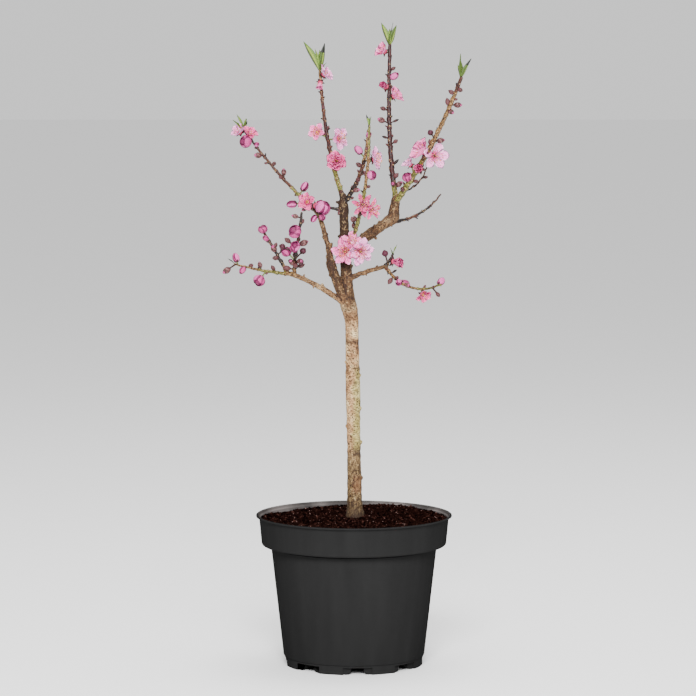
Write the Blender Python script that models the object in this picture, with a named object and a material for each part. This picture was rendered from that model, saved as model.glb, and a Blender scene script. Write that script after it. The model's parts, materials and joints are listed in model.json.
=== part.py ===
# Dwarf nectarine in early spring: a short grafted stem, a bare open crown in blossom, and its nursery pot.
# Metres, +Z up. The origin is the centre of the pot's flat underside and +Y points away from the viewer.
# Every limb grows from a point on its parent, so the tree follows from the rows of sizes below.

import math
import random
from collections import namedtuple

import bmesh
import bpy
from mathutils import Matrix, Vector
from mathutils.bvhtree import BVHTree

MM = 0.001
GAP = 0.3 * MM          # clearance that touching pieces keep
SEED = 21

# pot: black moulded plastic, 5 litre
POT_SIDES = 36
RIM_RADIUS = 115 * MM
RIM_HEIGHT = 176.5 * MM
LIP_HEIGHT = 2 * MM
LIP_DEPTH = 3 * MM
WALL = 1.5 * MM
COLLAR_TOP_RADIUS = 111.5 * MM
COLLAR_FOOT_RADIUS = 108.5 * MM
COLLAR_FOOT_HEIGHT = 141.2 * MM
COLLAR_CORNER = 3 * MM
BODY_TOP_RADIUS = 97.3 * MM
BODY_FOOT_RADIUS = 82.9 * MM
FOOT_RADIUS = 81.3 * MM
FOOT_HEIGHT = 11 * MM
FLOOR_HEIGHT = 9.7 * MM  # upper face of the floor
NOTCHES = 8
FIRST_NOTCH = 273        # compass degrees, +X is 0 and +Y is 90
NOTCH_WIDTH = 34 * MM
NOTCH_HEIGHT = 8.3 * MM
NOTCH_INNER_RADIUS = 77 * MM
CHANNEL_WIDTH = 14.7 * MM
CHANNEL_HEIGHT = 8.2 * MM
CHANNEL_ROUNDING = 5.5 * MM
HUB_RADIUS = 38 * MM
DRAIN_RADIUS = 4 * MM

# soil
SOIL_HEIGHT = 170.7 * MM
SOIL_RINGS = (14, 34, 56, 78, 98)    # radii in millimetres
# mounds and dips of the soil: x, y, width and height in millimetres
MOUNDS = ((42, 78, 26, 3.5), (-60, 62, 40, -3.5), (75, -20, 28, 1.5), (-40, -40, 30, -1.0))
SOIL_ROUGHNESS = 0.8 * MM

# Limbs, in millimetres and degrees. azimuth and rise give the way a limb sets out, swing and curl how far
# it turns sideways and upwards by its tip, along is the place of its foot on the parent, from 0 to 1.
Limb = namedtuple("Limb", "parent along azimuth rise length swing curl thick thin")
STEM_FOOT = (1.2, 0, 171)
LIMBS = {
    "trunk": Limb(None, 0, 155, 89, 232, 0, 0, 8.8, 7.5),
    "trunk_head": Limb("trunk", 1, 178, 82, 30, 0, -10, 7.5, 8.2),
    "left_arm": Limb("trunk_head", 0.55, -163, 62, 59, 15, 8, 6.2, 5.0),
    "leader": Limb("trunk_head", 0.75, 131, 85, 125, -21, 0, 7.8, 4.3),
    "right_bough": Limb("leader", 0.47, 5, 39, 71, 17, -9, 5.6, 5.6),
    "right_riser": Limb("right_bough", 0.99, 48, 78, 23, 0, 0, 6.0, 5.2),
    "left_low_bough": Limb("trunk_head", 0.6, -168, 39, 82, 12, -18, 3.6, 2.7),
    "left_rise": Limb("left_arm", 0.98, 151, 83, 63, -11, -21, 3.4, 2.4),
    "right_low_bough": Limb("leader", 0.22, -20, 25, 52, -2, -12, 2.8, 2.3),
    "shoot_far_left": Limb("left_rise", 0.98, 141, 33, 141, 13, 18, 2.3, 1.2),
    "shoot_tall_left": Limb("leader", 0.98, 116, 49, 171, -16, 21, 3.0, 1.6),
    "shoot_middle_short": Limb("leader", 0.93, -31, 47, 96, -21, 40, 3.0, 1.4),
    "shoot_middle_front": Limb("leader", 0.42, -53, 57, 181, -39, 8, 2.5, 1.4),
    "shoot_tall_right": Limb("right_riser", 0.98, 110, 64, 187, -31, 19, 3.2, 2.0),
    "shoot_far_right": Limb("right_riser", 0.8, -45, 46, 190, -13, 11, 3.5, 2.0),
    "shoot_thin_right": Limb("shoot_far_right", 0.1, 36, 8, 44, -35, 70, 1.2, 0.8),
    "twig_right_back": Limb("right_bough", 0.85, 36, 0, 100, 21, 34, 2.2, 0.9),
    "shoot_low_left": Limb("left_low_bough", 0.98, -148, 6, 77, -6, 10, 2.2, 1.0),
    "shoot_low_left_rising": Limb("shoot_low_left", 0.08, 147, 56, 62, -9, -7, 2.2, 1.4),
    "spur_low_left": Limb("left_low_bough", 0.95, -88, 57, 80, 40, 23, 2.0, 1.4),
    "shoot_low_right": Limb("right_low_bough", 0.98, -45, -46, 92, 6, 71, 1.9, 1.1),
    "spur_low_right": Limb("right_low_bough", 0.98, 37, 44, 19, 5, 13, 1.7, 1.3),
    "spur_leader": Limb("leader", 0.88, 188, -4, 16, 0, 20, 2.0, 1.6),
    "spur_fork": Limb("leader", 0.45, -78, 8, 19, 10, 20, 2.2, 1.6),
}
BOUGHS = ("left_arm", "leader", "right_bough", "right_riser", "left_low_bough", "left_rise",
          "right_low_bough")
MASSES = tuple(name for name in LIMBS if name.startswith(("shoot_", "spur_", "twig_")))

# swellings of a limb: distance from its foot, extra radius and half width in millimetres
SWELLS = {
    "trunk": ((0, 2.2, 12), (85, -0.5, 40), (155, 0.6, 25), (257, 2.1, 16)),
    "left_arm": ((59, 0.7, 8),),
    "leader": ((70, 1.2, 10), (112, 1.6, 9)),
    "right_bough": ((38, 0.9, 9), (68, 1.2, 9)),
}
# old bud scars that stand out of the trunk: height, compass degrees, radius in millimetres
KNOBS = ((47, 5, 2.6), (88, 10, 2.8), (107, 185, 2.2), (127, 0, 2.8), (165, -5, 2.6), (180, 178, 2.2))
FLARE_LOBES = 3
FLARE_DEPTH = 0.18      # share of the swelling at the foot that varies round it

# Blossom and the larger buds that each shoot carries: kind, along, then azimuth and lift of the stalk,
# and its reach in millimetres.
CARRIES = {
    "shoot_far_left": (
        ("flower", 0.9, -70, 20, 8), ("flower", 0.94, -170, -15, 8), ("half_open", 0.87, -150, -35, 8),
        ("pink_bud", 0.72, -145, 5, 8), ("pink_bud", 0.24, 25, 55, 12), ("pink_bud", 0.14, -175, -5, 18),
        ("flower", 0.1, -130, 40, 8)),
    "shoot_tall_left": (
        ("flower", 0.99, -10, 30, 11), ("half_open", 0.9, -85, 55, 7), ("flower", 0.5, -155, 25, 16),
        ("flower", 0.48, 15, 25, 16), ("rosette", 0.28, -60, 30, 7)),
    "shoot_middle_short": (("pink_bud", 0.66, -165, 50, 12), ("pink_bud", 0.92, -65, 40, 4)),
    "shoot_middle_front": (
        ("flower", 0.72, 10, 35, 16), ("half_open", 0.64, -30, 5, 7), ("flower", 0.42, -90, 5, 8),
        ("flower", 0.36, -40, 10, 20)),
    "shoot_tall_right": (
        ("flower", 0.96, -165, 15, 10), ("pink_bud", 0.78, -35, 30, 9), ("flower", 0.72, -135, 30, 8),
        ("flower", 0.64, -35, 40, 16), ("pink_bud", 0.5, -150, 20, 12)),
    "shoot_far_right": (
        ("flower", 0.44, 160, 50, 16), ("flower", 0.4, -20, 0, 12), ("flower", 0.3, -80, 0, 8),
        ("half_open", 0.24, 150, 65, 14), ("pink_bud", 0.18, -135, 60, 6), ("pink_bud", 0.8, -20, 0, 9)),
    "shoot_low_left": (("pink_bud", 0.94, 130, 65, 9), ("half_open", 0.46, -130, -40, 16)),
    "shoot_low_left_rising": (("pink_bud", 0.96, -135, 65, 6),),
    "spur_low_left": (("half_open", 0.68, -135, 30, 7), ("pink_bud", 0.92, -165, 15, 8),
                      ("pink_bud", 0.42, -130, 30, 5)),
    "shoot_low_right": (("pink_bud", 0.3, -95, -10, 6), ("half_open", 0.68, -50, -60, 10),
                        ("pink_bud", 0.96, 50, 40, 6)),
    "spur_low_right": (("half_open", 0.4, -10, 0, 8),),
    "spur_leader": (("globe", 0.95, 195, 20, 7),),
    "spur_fork": (("flower", 0.85, -125, -15, 10), ("flower", 0.95, -20, -15, 14), ("flower", 0.9, -70, 50, 14)),
}
# leaf tufts at the tips: leaves, length in millimetres, spread from the shoot, azimuth of the first leaf
TUFTS = {
    "shoot_far_left": (3, 22, 12, 200),
    "shoot_tall_left": (5, 34, 20, 185),
    "shoot_middle_front": (3, 15, 14, 200),
    "shoot_tall_right": (4, 31, 15, 185),
    "shoot_far_right": (4, 31, 15, 0),
    "shoot_low_left": (1, 11, 6, 170),
    "spur_low_right": (1, 9, 10, 30),
}
FLOWER_RADIUS = 14.5 * MM
ROSETTE_RADIUS = 11.5 * MM
HALF_OPEN_RADIUS = 8.5 * MM
PETAL_THICKNESS = 0.6 * MM
CUP_DEPTH = 4 * MM       # from the foot of the petals to the middle of an open flower
BUD_SIZES = {"pink_bud": (6.5, 10.5), "brown_bud": (5, 7.5), "leaf_bud": (2.4, 4.2), "globe": (14, 15)}
SMALL_BUD = 5.5 * MM     # a narrower bud has four sides
NODE_SPACING = 13 * MM   # between the small buds that a shoot carries along its length
PHYLLOTAXIS = 144        # degrees from one bud to the next round the shoot
BOUGH_RING_SPACING = 12 * MM
SHOOT_RING_SPACING = 17 * MM


def clear_scene():
    for thing in list(bpy.data.objects):
        bpy.data.objects.remove(thing, do_unlink=True)


def finish_material(name, hex_colour, roughness):
    channels = [int(hex_colour[i:i + 2], 16) / 255 for i in (1, 3, 5)]
    linear = [c / 12.92 if c <= 0.04045 else ((c + 0.055) / 1.055) ** 2.4 for c in channels]
    material = bpy.data.materials.new(name)
    material.use_nodes = True
    shader = material.node_tree.nodes["Principled BSDF"]
    shader.inputs["Base Color"].default_value = (*linear, 1)
    shader.inputs["Roughness"].default_value = roughness
    return material


def object_from(name, mesh_builder, material=None):
    bmesh.ops.recalc_face_normals(mesh_builder, faces=mesh_builder.faces)
    mesh = bpy.data.meshes.new(name)
    mesh_builder.to_mesh(mesh)
    mesh_builder.free()
    thing = bpy.data.objects.new(name, mesh)
    bpy.context.scene.collection.objects.link(thing)
    if material:
        mesh.materials.append(material)
        mesh.shade_smooth()
        mesh.set_sharp_from_angle(angle=math.radians(40))
    return thing


def is_closed(mesh):
    shape = bmesh.new()
    shape.from_mesh(mesh)
    closed = all(edge.is_manifold for edge in shape.edges)
    shape.free()
    return closed


def apply_booleans(thing):
    """Applies Boolean modifiers; where EXACT leaves an open edge, MANIFOLD works the shape out instead."""
    for solver in ("EXACT", "MANIFOLD"):
        for modifier in thing.modifiers:
            modifier.solver = solver
        bpy.context.view_layer.update()
        shape = thing.evaluated_get(bpy.context.evaluated_depsgraph_get())
        mesh = bpy.data.meshes.new_from_object(shape)
        if is_closed(mesh):
            break
    thing.modifiers.clear()
    thing.data = mesh


def compass(azimuth, lift):
    turn = math.radians(azimuth)
    climb = math.radians(lift)
    return Vector((math.cos(climb) * math.cos(turn), math.cos(climb) * math.sin(turn), math.sin(climb)))


def turned(name, profile, material):
    """Spins a profile of (radius, height) points, whose ends lie on the axis, round Z."""
    shape = bmesh.new()
    points = [shape.verts.new((radius, 0, height)) for radius, height in profile]
    edges = [shape.edges.new(pair) for pair in zip(points, points[1:])]
    bmesh.ops.spin(shape, geom=points + edges, axis=(0, 0, 1), cent=(0, 0, 0), steps=POT_SIDES,
                   angle=math.tau, use_merge=True)
    bmesh.ops.remove_doubles(shape, verts=shape.verts, dist=0.01 * MM)
    return object_from(name, shape, material)


def cut_with(thing, cutter, operation="DIFFERENCE"):
    cutter.hide_render = True
    cutter.display_type = "WIRE"
    boolean = thing.modifiers.new(cutter.name, "BOOLEAN")
    boolean.operation = operation
    boolean.object = cutter


def inner_profile(clearance):
    """The inside of the pot from its floor up to the lip, moved inwards by a clearance."""
    step = WALL + clearance
    return [
        (BODY_FOOT_RADIUS - step, FLOOR_HEIGHT + clearance),
        (BODY_TOP_RADIUS - step, COLLAR_FOOT_HEIGHT + step),
        (COLLAR_FOOT_RADIUS - COLLAR_CORNER / 2 - step, COLLAR_FOOT_HEIGHT + step),
        (COLLAR_FOOT_RADIUS - step, COLLAR_FOOT_HEIGHT + COLLAR_CORNER + clearance),
    ]


def build_pot():
    plastic = finish_material("black_plastic", "#2B2B2B", 0.42)
    lip_foot = RIM_HEIGHT - LIP_HEIGHT
    roll = 0.7 * MM
    corner = [(COLLAR_FOOT_RADIUS - COLLAR_CORNER * (1 - math.sin(turn)),
               COLLAR_FOOT_HEIGHT + COLLAR_CORNER * (1 - math.cos(turn)))
              for turn in (0, math.radians(45), math.radians(90))]
    profile = [(0, 0), (FOOT_RADIUS, 0), (FOOT_RADIUS, FOOT_HEIGHT), (BODY_FOOT_RADIUS, FOOT_HEIGHT + 0.8 * MM),
               (BODY_TOP_RADIUS, COLLAR_FOOT_HEIGHT), *corner,
               (COLLAR_TOP_RADIUS, lip_foot), (RIM_RADIUS - roll, lip_foot),
               (RIM_RADIUS, lip_foot + roll), (RIM_RADIUS, RIM_HEIGHT - roll),
               (RIM_RADIUS - roll, RIM_HEIGHT), (RIM_RADIUS - LIP_DEPTH + roll, RIM_HEIGHT),
               (RIM_RADIUS - LIP_DEPTH, RIM_HEIGHT - roll), (COLLAR_TOP_RADIUS - WALL, lip_foot - WALL)]
    profile += reversed(inner_profile(0))
    profile.append((0, FLOOR_HEIGHT))
    pot = turned("pot", profile, plastic)
    for cutter in (channel_cutters(), notch_cutters(), drain_cutters()):
        cut_with(pot, cutter)
    return pot


def spread_round_pot(shape, name):
    """Copies a cutter that lies along +X to every notch."""
    first = list(shape.verts) + list(shape.edges) + list(shape.faces)
    for index in range(1, NOTCHES):
        copy = bmesh.ops.duplicate(shape, geom=first)
        corners = [item for item in copy["geom"] if isinstance(item, bmesh.types.BMVert)]
        turn = Matrix.Rotation(math.tau * index / NOTCHES, 3, "Z")
        bmesh.ops.rotate(shape, verts=corners, cent=(0, 0, 0), matrix=turn)
    cutter = object_from(name, shape)
    cutter.rotation_euler.z = math.radians(FIRST_NOTCH)
    return cutter


def channel_cutters():
    """Drainage channels under the floor, rounded out at their lower edges so that pads stay between them."""
    half = CHANNEL_WIDTH / 2
    curve = [(half + CHANNEL_ROUNDING * (1 - math.cos(turn)), CHANNEL_ROUNDING * (1 - math.sin(turn)))
             for turn in (math.radians(90) * step / 4 for step in range(5))]
    side = [(half, CHANNEL_HEIGHT)] + curve + [(half + CHANNEL_ROUNDING, -1 * MM)]
    outline = side + [(-across, height) for across, height in reversed(side)]
    shape = bmesh.new()
    corners = [shape.verts.new((HUB_RADIUS, across, height)) for across, height in outline]
    face = shape.faces.new(corners)
    grown = bmesh.ops.extrude_face_region(shape, geom=[face])
    moved = [item for item in grown["geom"] if isinstance(item, bmesh.types.BMVert)]
    bmesh.ops.translate(shape, verts=moved, vec=(NOTCH_INNER_RADIUS + 1 * MM - HUB_RADIUS, 0, 0))
    return spread_round_pot(shape, "channels")


def notch_cutters():
    depth = 12 * MM
    shape = bmesh.new()
    box = Matrix.Translation((NOTCH_INNER_RADIUS + depth / 2, 0, 0)) @ Matrix.Diagonal(
        (depth, NOTCH_WIDTH, 2 * NOTCH_HEIGHT, 1))
    bmesh.ops.create_cube(shape, size=1, matrix=box)
    return spread_round_pot(shape, "notches")


def drain_cutters():
    shape = bmesh.new()
    place = Matrix.Translation((HUB_RADIUS + 2 * DRAIN_RADIUS, 0, FLOOR_HEIGHT))
    bmesh.ops.create_cone(shape, cap_ends=True, segments=10, radius1=DRAIN_RADIUS, radius2=DRAIN_RADIUS,
                          depth=8 * MM, matrix=place)
    return spread_round_pot(shape, "drains")


def soil_level(x, y, dice):
    level = SOIL_HEIGHT
    for mound_x, mound_y, width, height in MOUNDS:
        away = math.hypot(x / MM - mound_x, y / MM - mound_y) / width
        level += height * MM * math.exp(-away * away)
    return level + dice.uniform(-1, 1) * SOIL_ROUGHNESS


def build_soil():
    """Compost that fills the pot, with a rough top and a level patch for the trunk to stand on."""
    soil = finish_material("compost", "#2F1715", 0.95)
    dice = random.Random(SEED)
    wall = inner_profile(GAP)
    brim = wall[-1][0] + (COLLAR_TOP_RADIUS - COLLAR_FOOT_RADIUS) * 0.8
    shape = bmesh.new()
    rings = []
    for radius in [ring * MM for ring in SOIL_RINGS] + [brim]:
        ring = []
        for index in range(POT_SIDES):
            turn = math.tau * index / POT_SIDES
            x = radius * math.cos(turn)
            y = radius * math.sin(turn)
            level = SOIL_HEIGHT if radius == SOIL_RINGS[0] * MM else soil_level(x, y, dice)
            ring.append(shape.verts.new((x, y, min(level, RIM_HEIGHT - LIP_HEIGHT))))
        rings.append(ring)
    for radius, height in reversed(wall):
        turns = [math.tau * index / POT_SIDES for index in range(POT_SIDES)]
        rings.append([shape.verts.new((radius * math.cos(turn), radius * math.sin(turn), height))
                      for turn in turns])
    bridge_rings(shape, rings)
    return object_from("soil", shape, soil)


def bridge_rings(shape, rings):
    """Walls between the rings and a flat face over the first and the last."""
    count = len(rings[0])
    for lower, upper in zip(rings, rings[1:]):
        for index in range(count):
            after = (index + 1) % count
            shape.faces.new((lower[index], lower[after], upper[after], upper[index]))
    shape.faces.new(reversed(rings[0]))
    shape.faces.new(rings[-1])


def grow_path(name, paths):
    """Centre line of a limb as (point, distance) pairs, in metres."""
    limb = LIMBS[name]
    start = point_at(paths[limb.parent], limb.along) if limb.parent else Vector(STEM_FOOT) * MM
    spacing = SHOOT_RING_SPACING if name in MASSES else BOUGH_RING_SPACING
    steps = max(3, round(limb.length * MM / spacing))
    stride = limb.length * MM / steps
    line = [start]
    for step in range(steps):
        share = (step + 0.5) / steps
        heading = compass(limb.azimuth + limb.swing * share, limb.rise + limb.curl * share)
        line.append(line[-1] + heading * stride)
    return line


def point_at(line, along):
    place = min(max(along, 0), 1) * (len(line) - 1)
    index = min(int(place), len(line) - 2)
    return line[index].lerp(line[index + 1], place - index)


def heading_at(line, along):
    return (point_at(line, along + 0.04) - point_at(line, along - 0.04)).normalized()


def radius_at(name, distance, length):
    """Taper of a limb with its swellings; distance and length in metres."""
    limb = LIMBS[name]
    radius = limb.thick + (limb.thin - limb.thick) * distance / length
    for place, extra, width in SWELLS.get(name, ()):
        radius += extra * math.exp(-((distance / MM - place) / width) ** 2)
    return radius * MM


def sweep(name, line, sides, grown=0.0, lobes=0):
    """A round tube along a line, as a bmesh, with a rounded tip; grown thickens it for clearance."""
    length = sum((b - a).length for a, b in zip(line, line[1:]))
    distance = 0
    tangent = (line[1] - line[0]).normalized()
    side = tangent.orthogonal().normalized()
    shape = bmesh.new()
    rings = []
    for index, point in enumerate(line):
        before = line[max(index - 1, 0)]
        after = line[min(index + 1, len(line) - 1)]
        tangent = (after - before).normalized()
        side = (side - tangent * side.dot(tangent)).normalized()
        distance += (point - before).length
        radius = radius_at(name, distance, length) + grown
        flare = FLARE_DEPTH * math.exp(-(distance / MM / 14) ** 2) if lobes else 0
        rings.append(ring_of(shape, point, tangent, side, radius, sides, flare, lobes))
    for share, push in ((0.8, 0.5), (0.4, 0.85)):
        tip = line[-1] + tangent * (radius * push + grown)
        rings.append(ring_of(shape, tip, tangent, side, radius * share, sides, 0, 0))
    bridge_rings(shape, rings)
    return shape


def ring_of(shape, centre, tangent, side, radius, sides, flare, lobes):
    across = tangent.cross(side)
    ring = []
    for index in range(sides):
        turn = math.tau * index / sides
        reach = radius * (1 + flare * math.cos(lobes * turn))
        ring.append(shape.verts.new(centre + side * math.cos(turn) * reach + across * math.sin(turn) * reach))
    return ring


def bud(width, length, pointed=0.75):
    """A closed bud along +Z: round at the foot and drawn to a point at the tip."""
    shape = bmesh.new()
    if width < SMALL_BUD:
        bmesh.ops.create_uvsphere(shape, u_segments=4, v_segments=2, radius=1)
    else:
        bmesh.ops.create_icosphere(shape, subdivisions=1, radius=1)
    for corner in shape.verts:
        draw_in = 1 - pointed * max(corner.co.z, 0) ** 2
        corner.co = Vector((corner.co.x * draw_in * width / 2, corner.co.y * draw_in * width / 2,
                            corner.co.z * length / 2))
    return shape


def blade(length, width, thickness, cup):
    """A petal or leaf of few faces from the origin along +X, hollowed by cup of its length."""
    shape = bmesh.new()
    outline = [(0, 0), (0.6, -0.5), (0.96, -0.28), (0.96, 0.28), (0.6, 0.5)]
    rim = [shape.verts.new((along * length, across * width, 0)) for along, across in outline]
    for level, order in ((thickness / 2, 1), (-thickness / 2, -1)):
        middle = shape.verts.new((0.6 * length, 0, level - cup * length))
        corners = rim[::order]
        for index, corner in enumerate(corners):
            shape.faces.new((corner, corners[(index + 1) % len(corners)], middle))
    return shape


def placed(shape, place):
    bmesh.ops.transform(shape, matrix=place, verts=shape.verts)
    return shape


def aim(origin, direction, roll=0.0):
    """Matrix that turns +Z to a direction and moves it to a place."""
    return Matrix.Translation(origin) @ direction.to_track_quat("Z", "Y").to_matrix().to_4x4() @ Matrix.Rotation(
        roll, 4, "Z")


def flower_pieces(origin, direction, radius, petals, opening, dice):
    """A cup and a ring of petals that open by so many degrees from the stalk."""
    pieces = [placed(bud(radius * 0.36, radius * 0.6, 0.2), aim(origin, direction))]
    first = dice.uniform(0, math.tau)
    for index in range(petals):
        turn = first + math.tau * index / petals
        lift = math.radians(90 - opening + dice.uniform(-7, 7))
        tilt = Matrix.Rotation(turn, 4, "Z") @ Matrix.Rotation(-lift, 4, "Y")
        petal = blade(radius, radius * 0.78, PETAL_THICKNESS, 0.08)
        pieces.append(placed(petal, aim(origin, direction) @ tilt))
    return pieces


def carried_pieces(kind, foot, direction, reach, dice):
    """The solids of one carried thing, whose foot is sunk in the shoot."""
    head = foot + direction * reach
    cup = foot + direction * max(reach - CUP_DEPTH, CUP_DEPTH)
    if kind == "flower":
        pieces = flower_pieces(cup, direction, FLOWER_RADIUS, 5, 68, dice)
    elif kind == "rosette":
        pieces = flower_pieces(cup, direction, ROSETTE_RADIUS, 6, 58, dice)
    elif kind == "half_open":
        pieces = flower_pieces(cup, direction, HALF_OPEN_RADIUS, 5, 32, dice)
    else:
        width, length = (size * MM for size in BUD_SIZES[kind])
        pieces = [placed(bud(width, length), aim(head, direction))]
    return pieces + [stalk(foot, head)]


def stalk(foot, head):
    shape = bmesh.new()
    length = (head - foot).length
    middle = (foot + head) / 2
    bmesh.ops.create_cone(shape, cap_ends=True, segments=3, radius1=1.3 * MM, radius2=1.1 * MM, depth=length,
                          matrix=aim(middle, (head - foot).normalized()))
    return shape


def tuft_pieces(name, line):
    """Young leaves that stand up round the tip of a shoot."""
    count, length, spread, first = TUFTS[name]
    tip = line[-1]
    axis = heading_at(line, 0.98)
    pieces = []
    for index in range(count):
        outwards = compass(first + index * 360 / count, 0)
        lean = math.tan(math.radians(spread * (1 if index % 2 == 0 else 0.5)))
        direction = (axis + outwards * lean).normalized()
        span = length * MM * (1 if index % 2 == 0 else 0.82)
        leaf = blade(span, span * 0.26, span * 0.05, 0.05)
        facing = direction.to_track_quat("X", "Y").to_matrix().to_4x4()
        pieces.append(placed(leaf, Matrix.Translation(tip - axis * 1.5 * MM) @ facing))
    return pieces


def blossom_heads(paths):
    """Centre and radius of each carried thing, with the shoot that it belongs to."""
    sizes = {"flower": FLOWER_RADIUS, "rosette": ROSETTE_RADIUS, "half_open": HALF_OPEN_RADIUS}
    heads = []
    for name, rows in CARRIES.items():
        for kind, along, azimuth, lift, reach in rows:
            centre = point_at(paths[name], along) + compass(azimuth, lift) * reach * MM
            heads.append((name, centre, sizes.get(kind, BUD_SIZES["pink_bud"][1] * MM)))
    return heads


def clear_of_others(centre, size, own, paths):
    """True where a ball of this size stands clear of every other limb and of all blossom."""
    for name, head, reach in blossom_heads(paths):
        if (centre - head).length < size + reach * (0.5 if name == own else 1.1):
            return False
    for name, line in paths.items():
        if name == own or name == LIMBS[own].parent and (centre - line[-1]).length > 12 * MM:
            continue
        thickness = max(LIMBS[name].thick, LIMBS[name].thin) * MM
        if min((centre - point_at(line, step / 30)).length for step in range(31)) < thickness + size:
            return False
    return True


def seeded_buds(name, line, paths, dice):
    """Small buds along a shoot, spiralling round it; one too close to blossom or another limb is skipped."""
    limb = LIMBS[name]
    length = limb.length * MM
    nodes = int(length * 0.9 / NODE_SPACING)
    pieces = []
    for node in range(nodes):
        along = 0.1 + 0.88 * (node + dice.uniform(-0.25, 0.25)) / nodes
        kind = "brown_bud" if dice.random() < 0.55 and name != "twig_right_back" else "leaf_bud"
        turn = math.radians(PHYLLOTAXIS * node + dice.uniform(-20, 20))
        heading = heading_at(line, along)
        side = heading.orthogonal().normalized()
        outwards = side * math.cos(turn) + heading.cross(side) * math.sin(turn)
        direction = (outwards + heading * 0.9).normalized()
        width, size = (value * MM for value in BUD_SIZES[kind])
        foot = point_at(line, along)
        head = foot + direction * (size * 0.35 + limb.thin * MM)
        if clear_of_others(head, size / 2, name, paths):
            pieces.append(placed(bud(width, size), aim(head, direction)))
    return pieces


def join_pieces(stem, pieces):
    """One union of the stem with everything it carries."""
    group = bpy.data.collections.new(stem.name + "_pieces")
    bpy.context.scene.collection.children.link(group)
    for index, shape in enumerate(pieces):
        piece = object_from(f"{stem.name}_piece_{index}", shape)
        bpy.context.scene.collection.objects.unlink(piece)
        group.objects.link(piece)
    union = stem.modifiers.new("join", "BOOLEAN")
    union.operation = "UNION"
    union.operand_type = "COLLECTION"
    union.collection = group
    apply_booleans(stem)
    for piece in list(group.objects):
        bpy.data.objects.remove(piece, do_unlink=True)
    bpy.data.collections.remove(group)


def keep_largest(thing):
    """Drops loose scraps that a cut leaves, and keeps the largest piece."""
    shape = bmesh.new()
    shape.from_mesh(thing.data)
    unseen = set(shape.verts)
    islands = []
    while unseen:
        island = {unseen.pop()}
        edge_of_island = list(island)
        while edge_of_island:
            corner = edge_of_island.pop()
            near = {edge.other_vert(corner) for edge in corner.link_edges} & unseen
            unseen -= near
            island |= near
            edge_of_island += near
        islands.append(island)
    islands.sort(key=len)
    scraps = [corner for island in islands[:-1] for corner in island]
    bmesh.ops.delete(shape, geom=scraps, context="VERTS")
    shape.to_mesh(thing.data)
    shape.free()


def overlaps(thing, guard):
    trees = []
    for item in (thing, guard):
        shape = bmesh.new()
        shape.from_mesh(item.data)
        trees.append(BVHTree.FromBMesh(shape))
        shape.free()
    return bool(trees[0].overlap(trees[1]))


def cut_clear(thing, guards):
    """Cuts a limb clear of the limbs it meets, each grown by the clearance."""
    met = [guard for guard in guards if overlaps(thing, guard)]
    for guard in met:
        cut_with(thing, guard)
    if met:
        apply_booleans(thing)
        keep_largest(thing)


def limb_sides(name):
    if name == "trunk":
        return 12
    return 8 if name in BOUGHS else 5


def build_tree():
    bark = finish_material("bark", "#A48B6A", 0.8)
    young_bark = finish_material("young_bark", "#8A5448", 0.6)
    paths = {}
    for name in LIMBS:
        paths[name] = grow_path(name, paths)
    trunk_line = paths["trunk"] + paths["trunk_head"][1:]
    guards = []
    trunk = build_trunk(trunk_line, bark)
    guards.append(guard_of("trunk", trunk_line))
    for name in BOUGHS:
        bough = object_from(name, sweep(name, paths[name], limb_sides(name)), bark)
        cut_clear(bough, guards)
        guards.append(guard_of(name, paths[name]))
    dice = random.Random(SEED)
    for name in MASSES:
        build_mass(name, paths, guards, young_bark, dice)
        guards.append(guard_of(name, paths[name]))
    for guard in guards:
        bpy.data.objects.remove(guard, do_unlink=True)
    return trunk


def guard_of(name, line):
    lobes = FLARE_LOBES if name == "trunk" else 0
    guard = object_from(name + "_guard", sweep(name, line, limb_sides(name), GAP * 1.25, lobes))
    guard.hide_render = True
    guard.display_type = "WIRE"
    return guard


def build_trunk(line, material):
    trunk = object_from("trunk", sweep("trunk", line, limb_sides("trunk"), 0, FLARE_LOBES), material)
    knobs = []
    for height, turn, size in KNOBS:
        along = height / (LIMBS["trunk"].length + LIMBS["trunk_head"].length)
        centre = point_at(line, along) + compass(turn, 0) * radius_at("trunk", height * MM, 262 * MM)
        knobs.append(placed(bud(size * MM, size * 1.7 * MM, 0.3), Matrix.Translation(centre)))
    join_pieces(trunk, knobs)
    cut_flat(trunk)
    return trunk


def cut_flat(trunk):
    """Squares the trunk off level where it meets the soil."""
    shape = bmesh.new()
    shape.from_mesh(trunk.data)
    level = SOIL_HEIGHT + GAP
    everything = list(shape.verts) + list(shape.edges) + list(shape.faces)
    bmesh.ops.bisect_plane(shape, geom=everything, plane_co=(0, 0, level), plane_no=(0, 0, -1),
                           clear_outer=True)
    bmesh.ops.holes_fill(shape, edges=[edge for edge in shape.edges if edge.is_boundary])
    bmesh.ops.recalc_face_normals(shape, faces=shape.faces)
    shape.to_mesh(trunk.data)
    shape.free()


def build_mass(name, paths, guards, material, dice):
    """One shoot with its blossom, buds and young leaves, in one solid."""
    line = paths[name]
    stem = object_from(name, sweep(name, line, limb_sides(name)), material)
    pieces = []
    for kind, along, azimuth, lift, reach in CARRIES.get(name, ()):
        pieces += carried_pieces(kind, point_at(line, along), compass(azimuth, lift), reach * MM, dice)
    pieces += seeded_buds(name, line, paths, dice)
    if name in TUFTS:
        pieces += tuft_pieces(name, line)
    join_pieces(stem, pieces)
    cut_clear(stem, guards)
    return stem


clear_scene()
build_pot()
build_soil()
build_tree()
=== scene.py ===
import json
import random
from collections import namedtuple
from functools import partial
from math import atan2, cos, exp, pi, radians, sin, sqrt, tau
import bpy
import numpy as np
from mathutils import Matrix, Vector, noise

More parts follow.
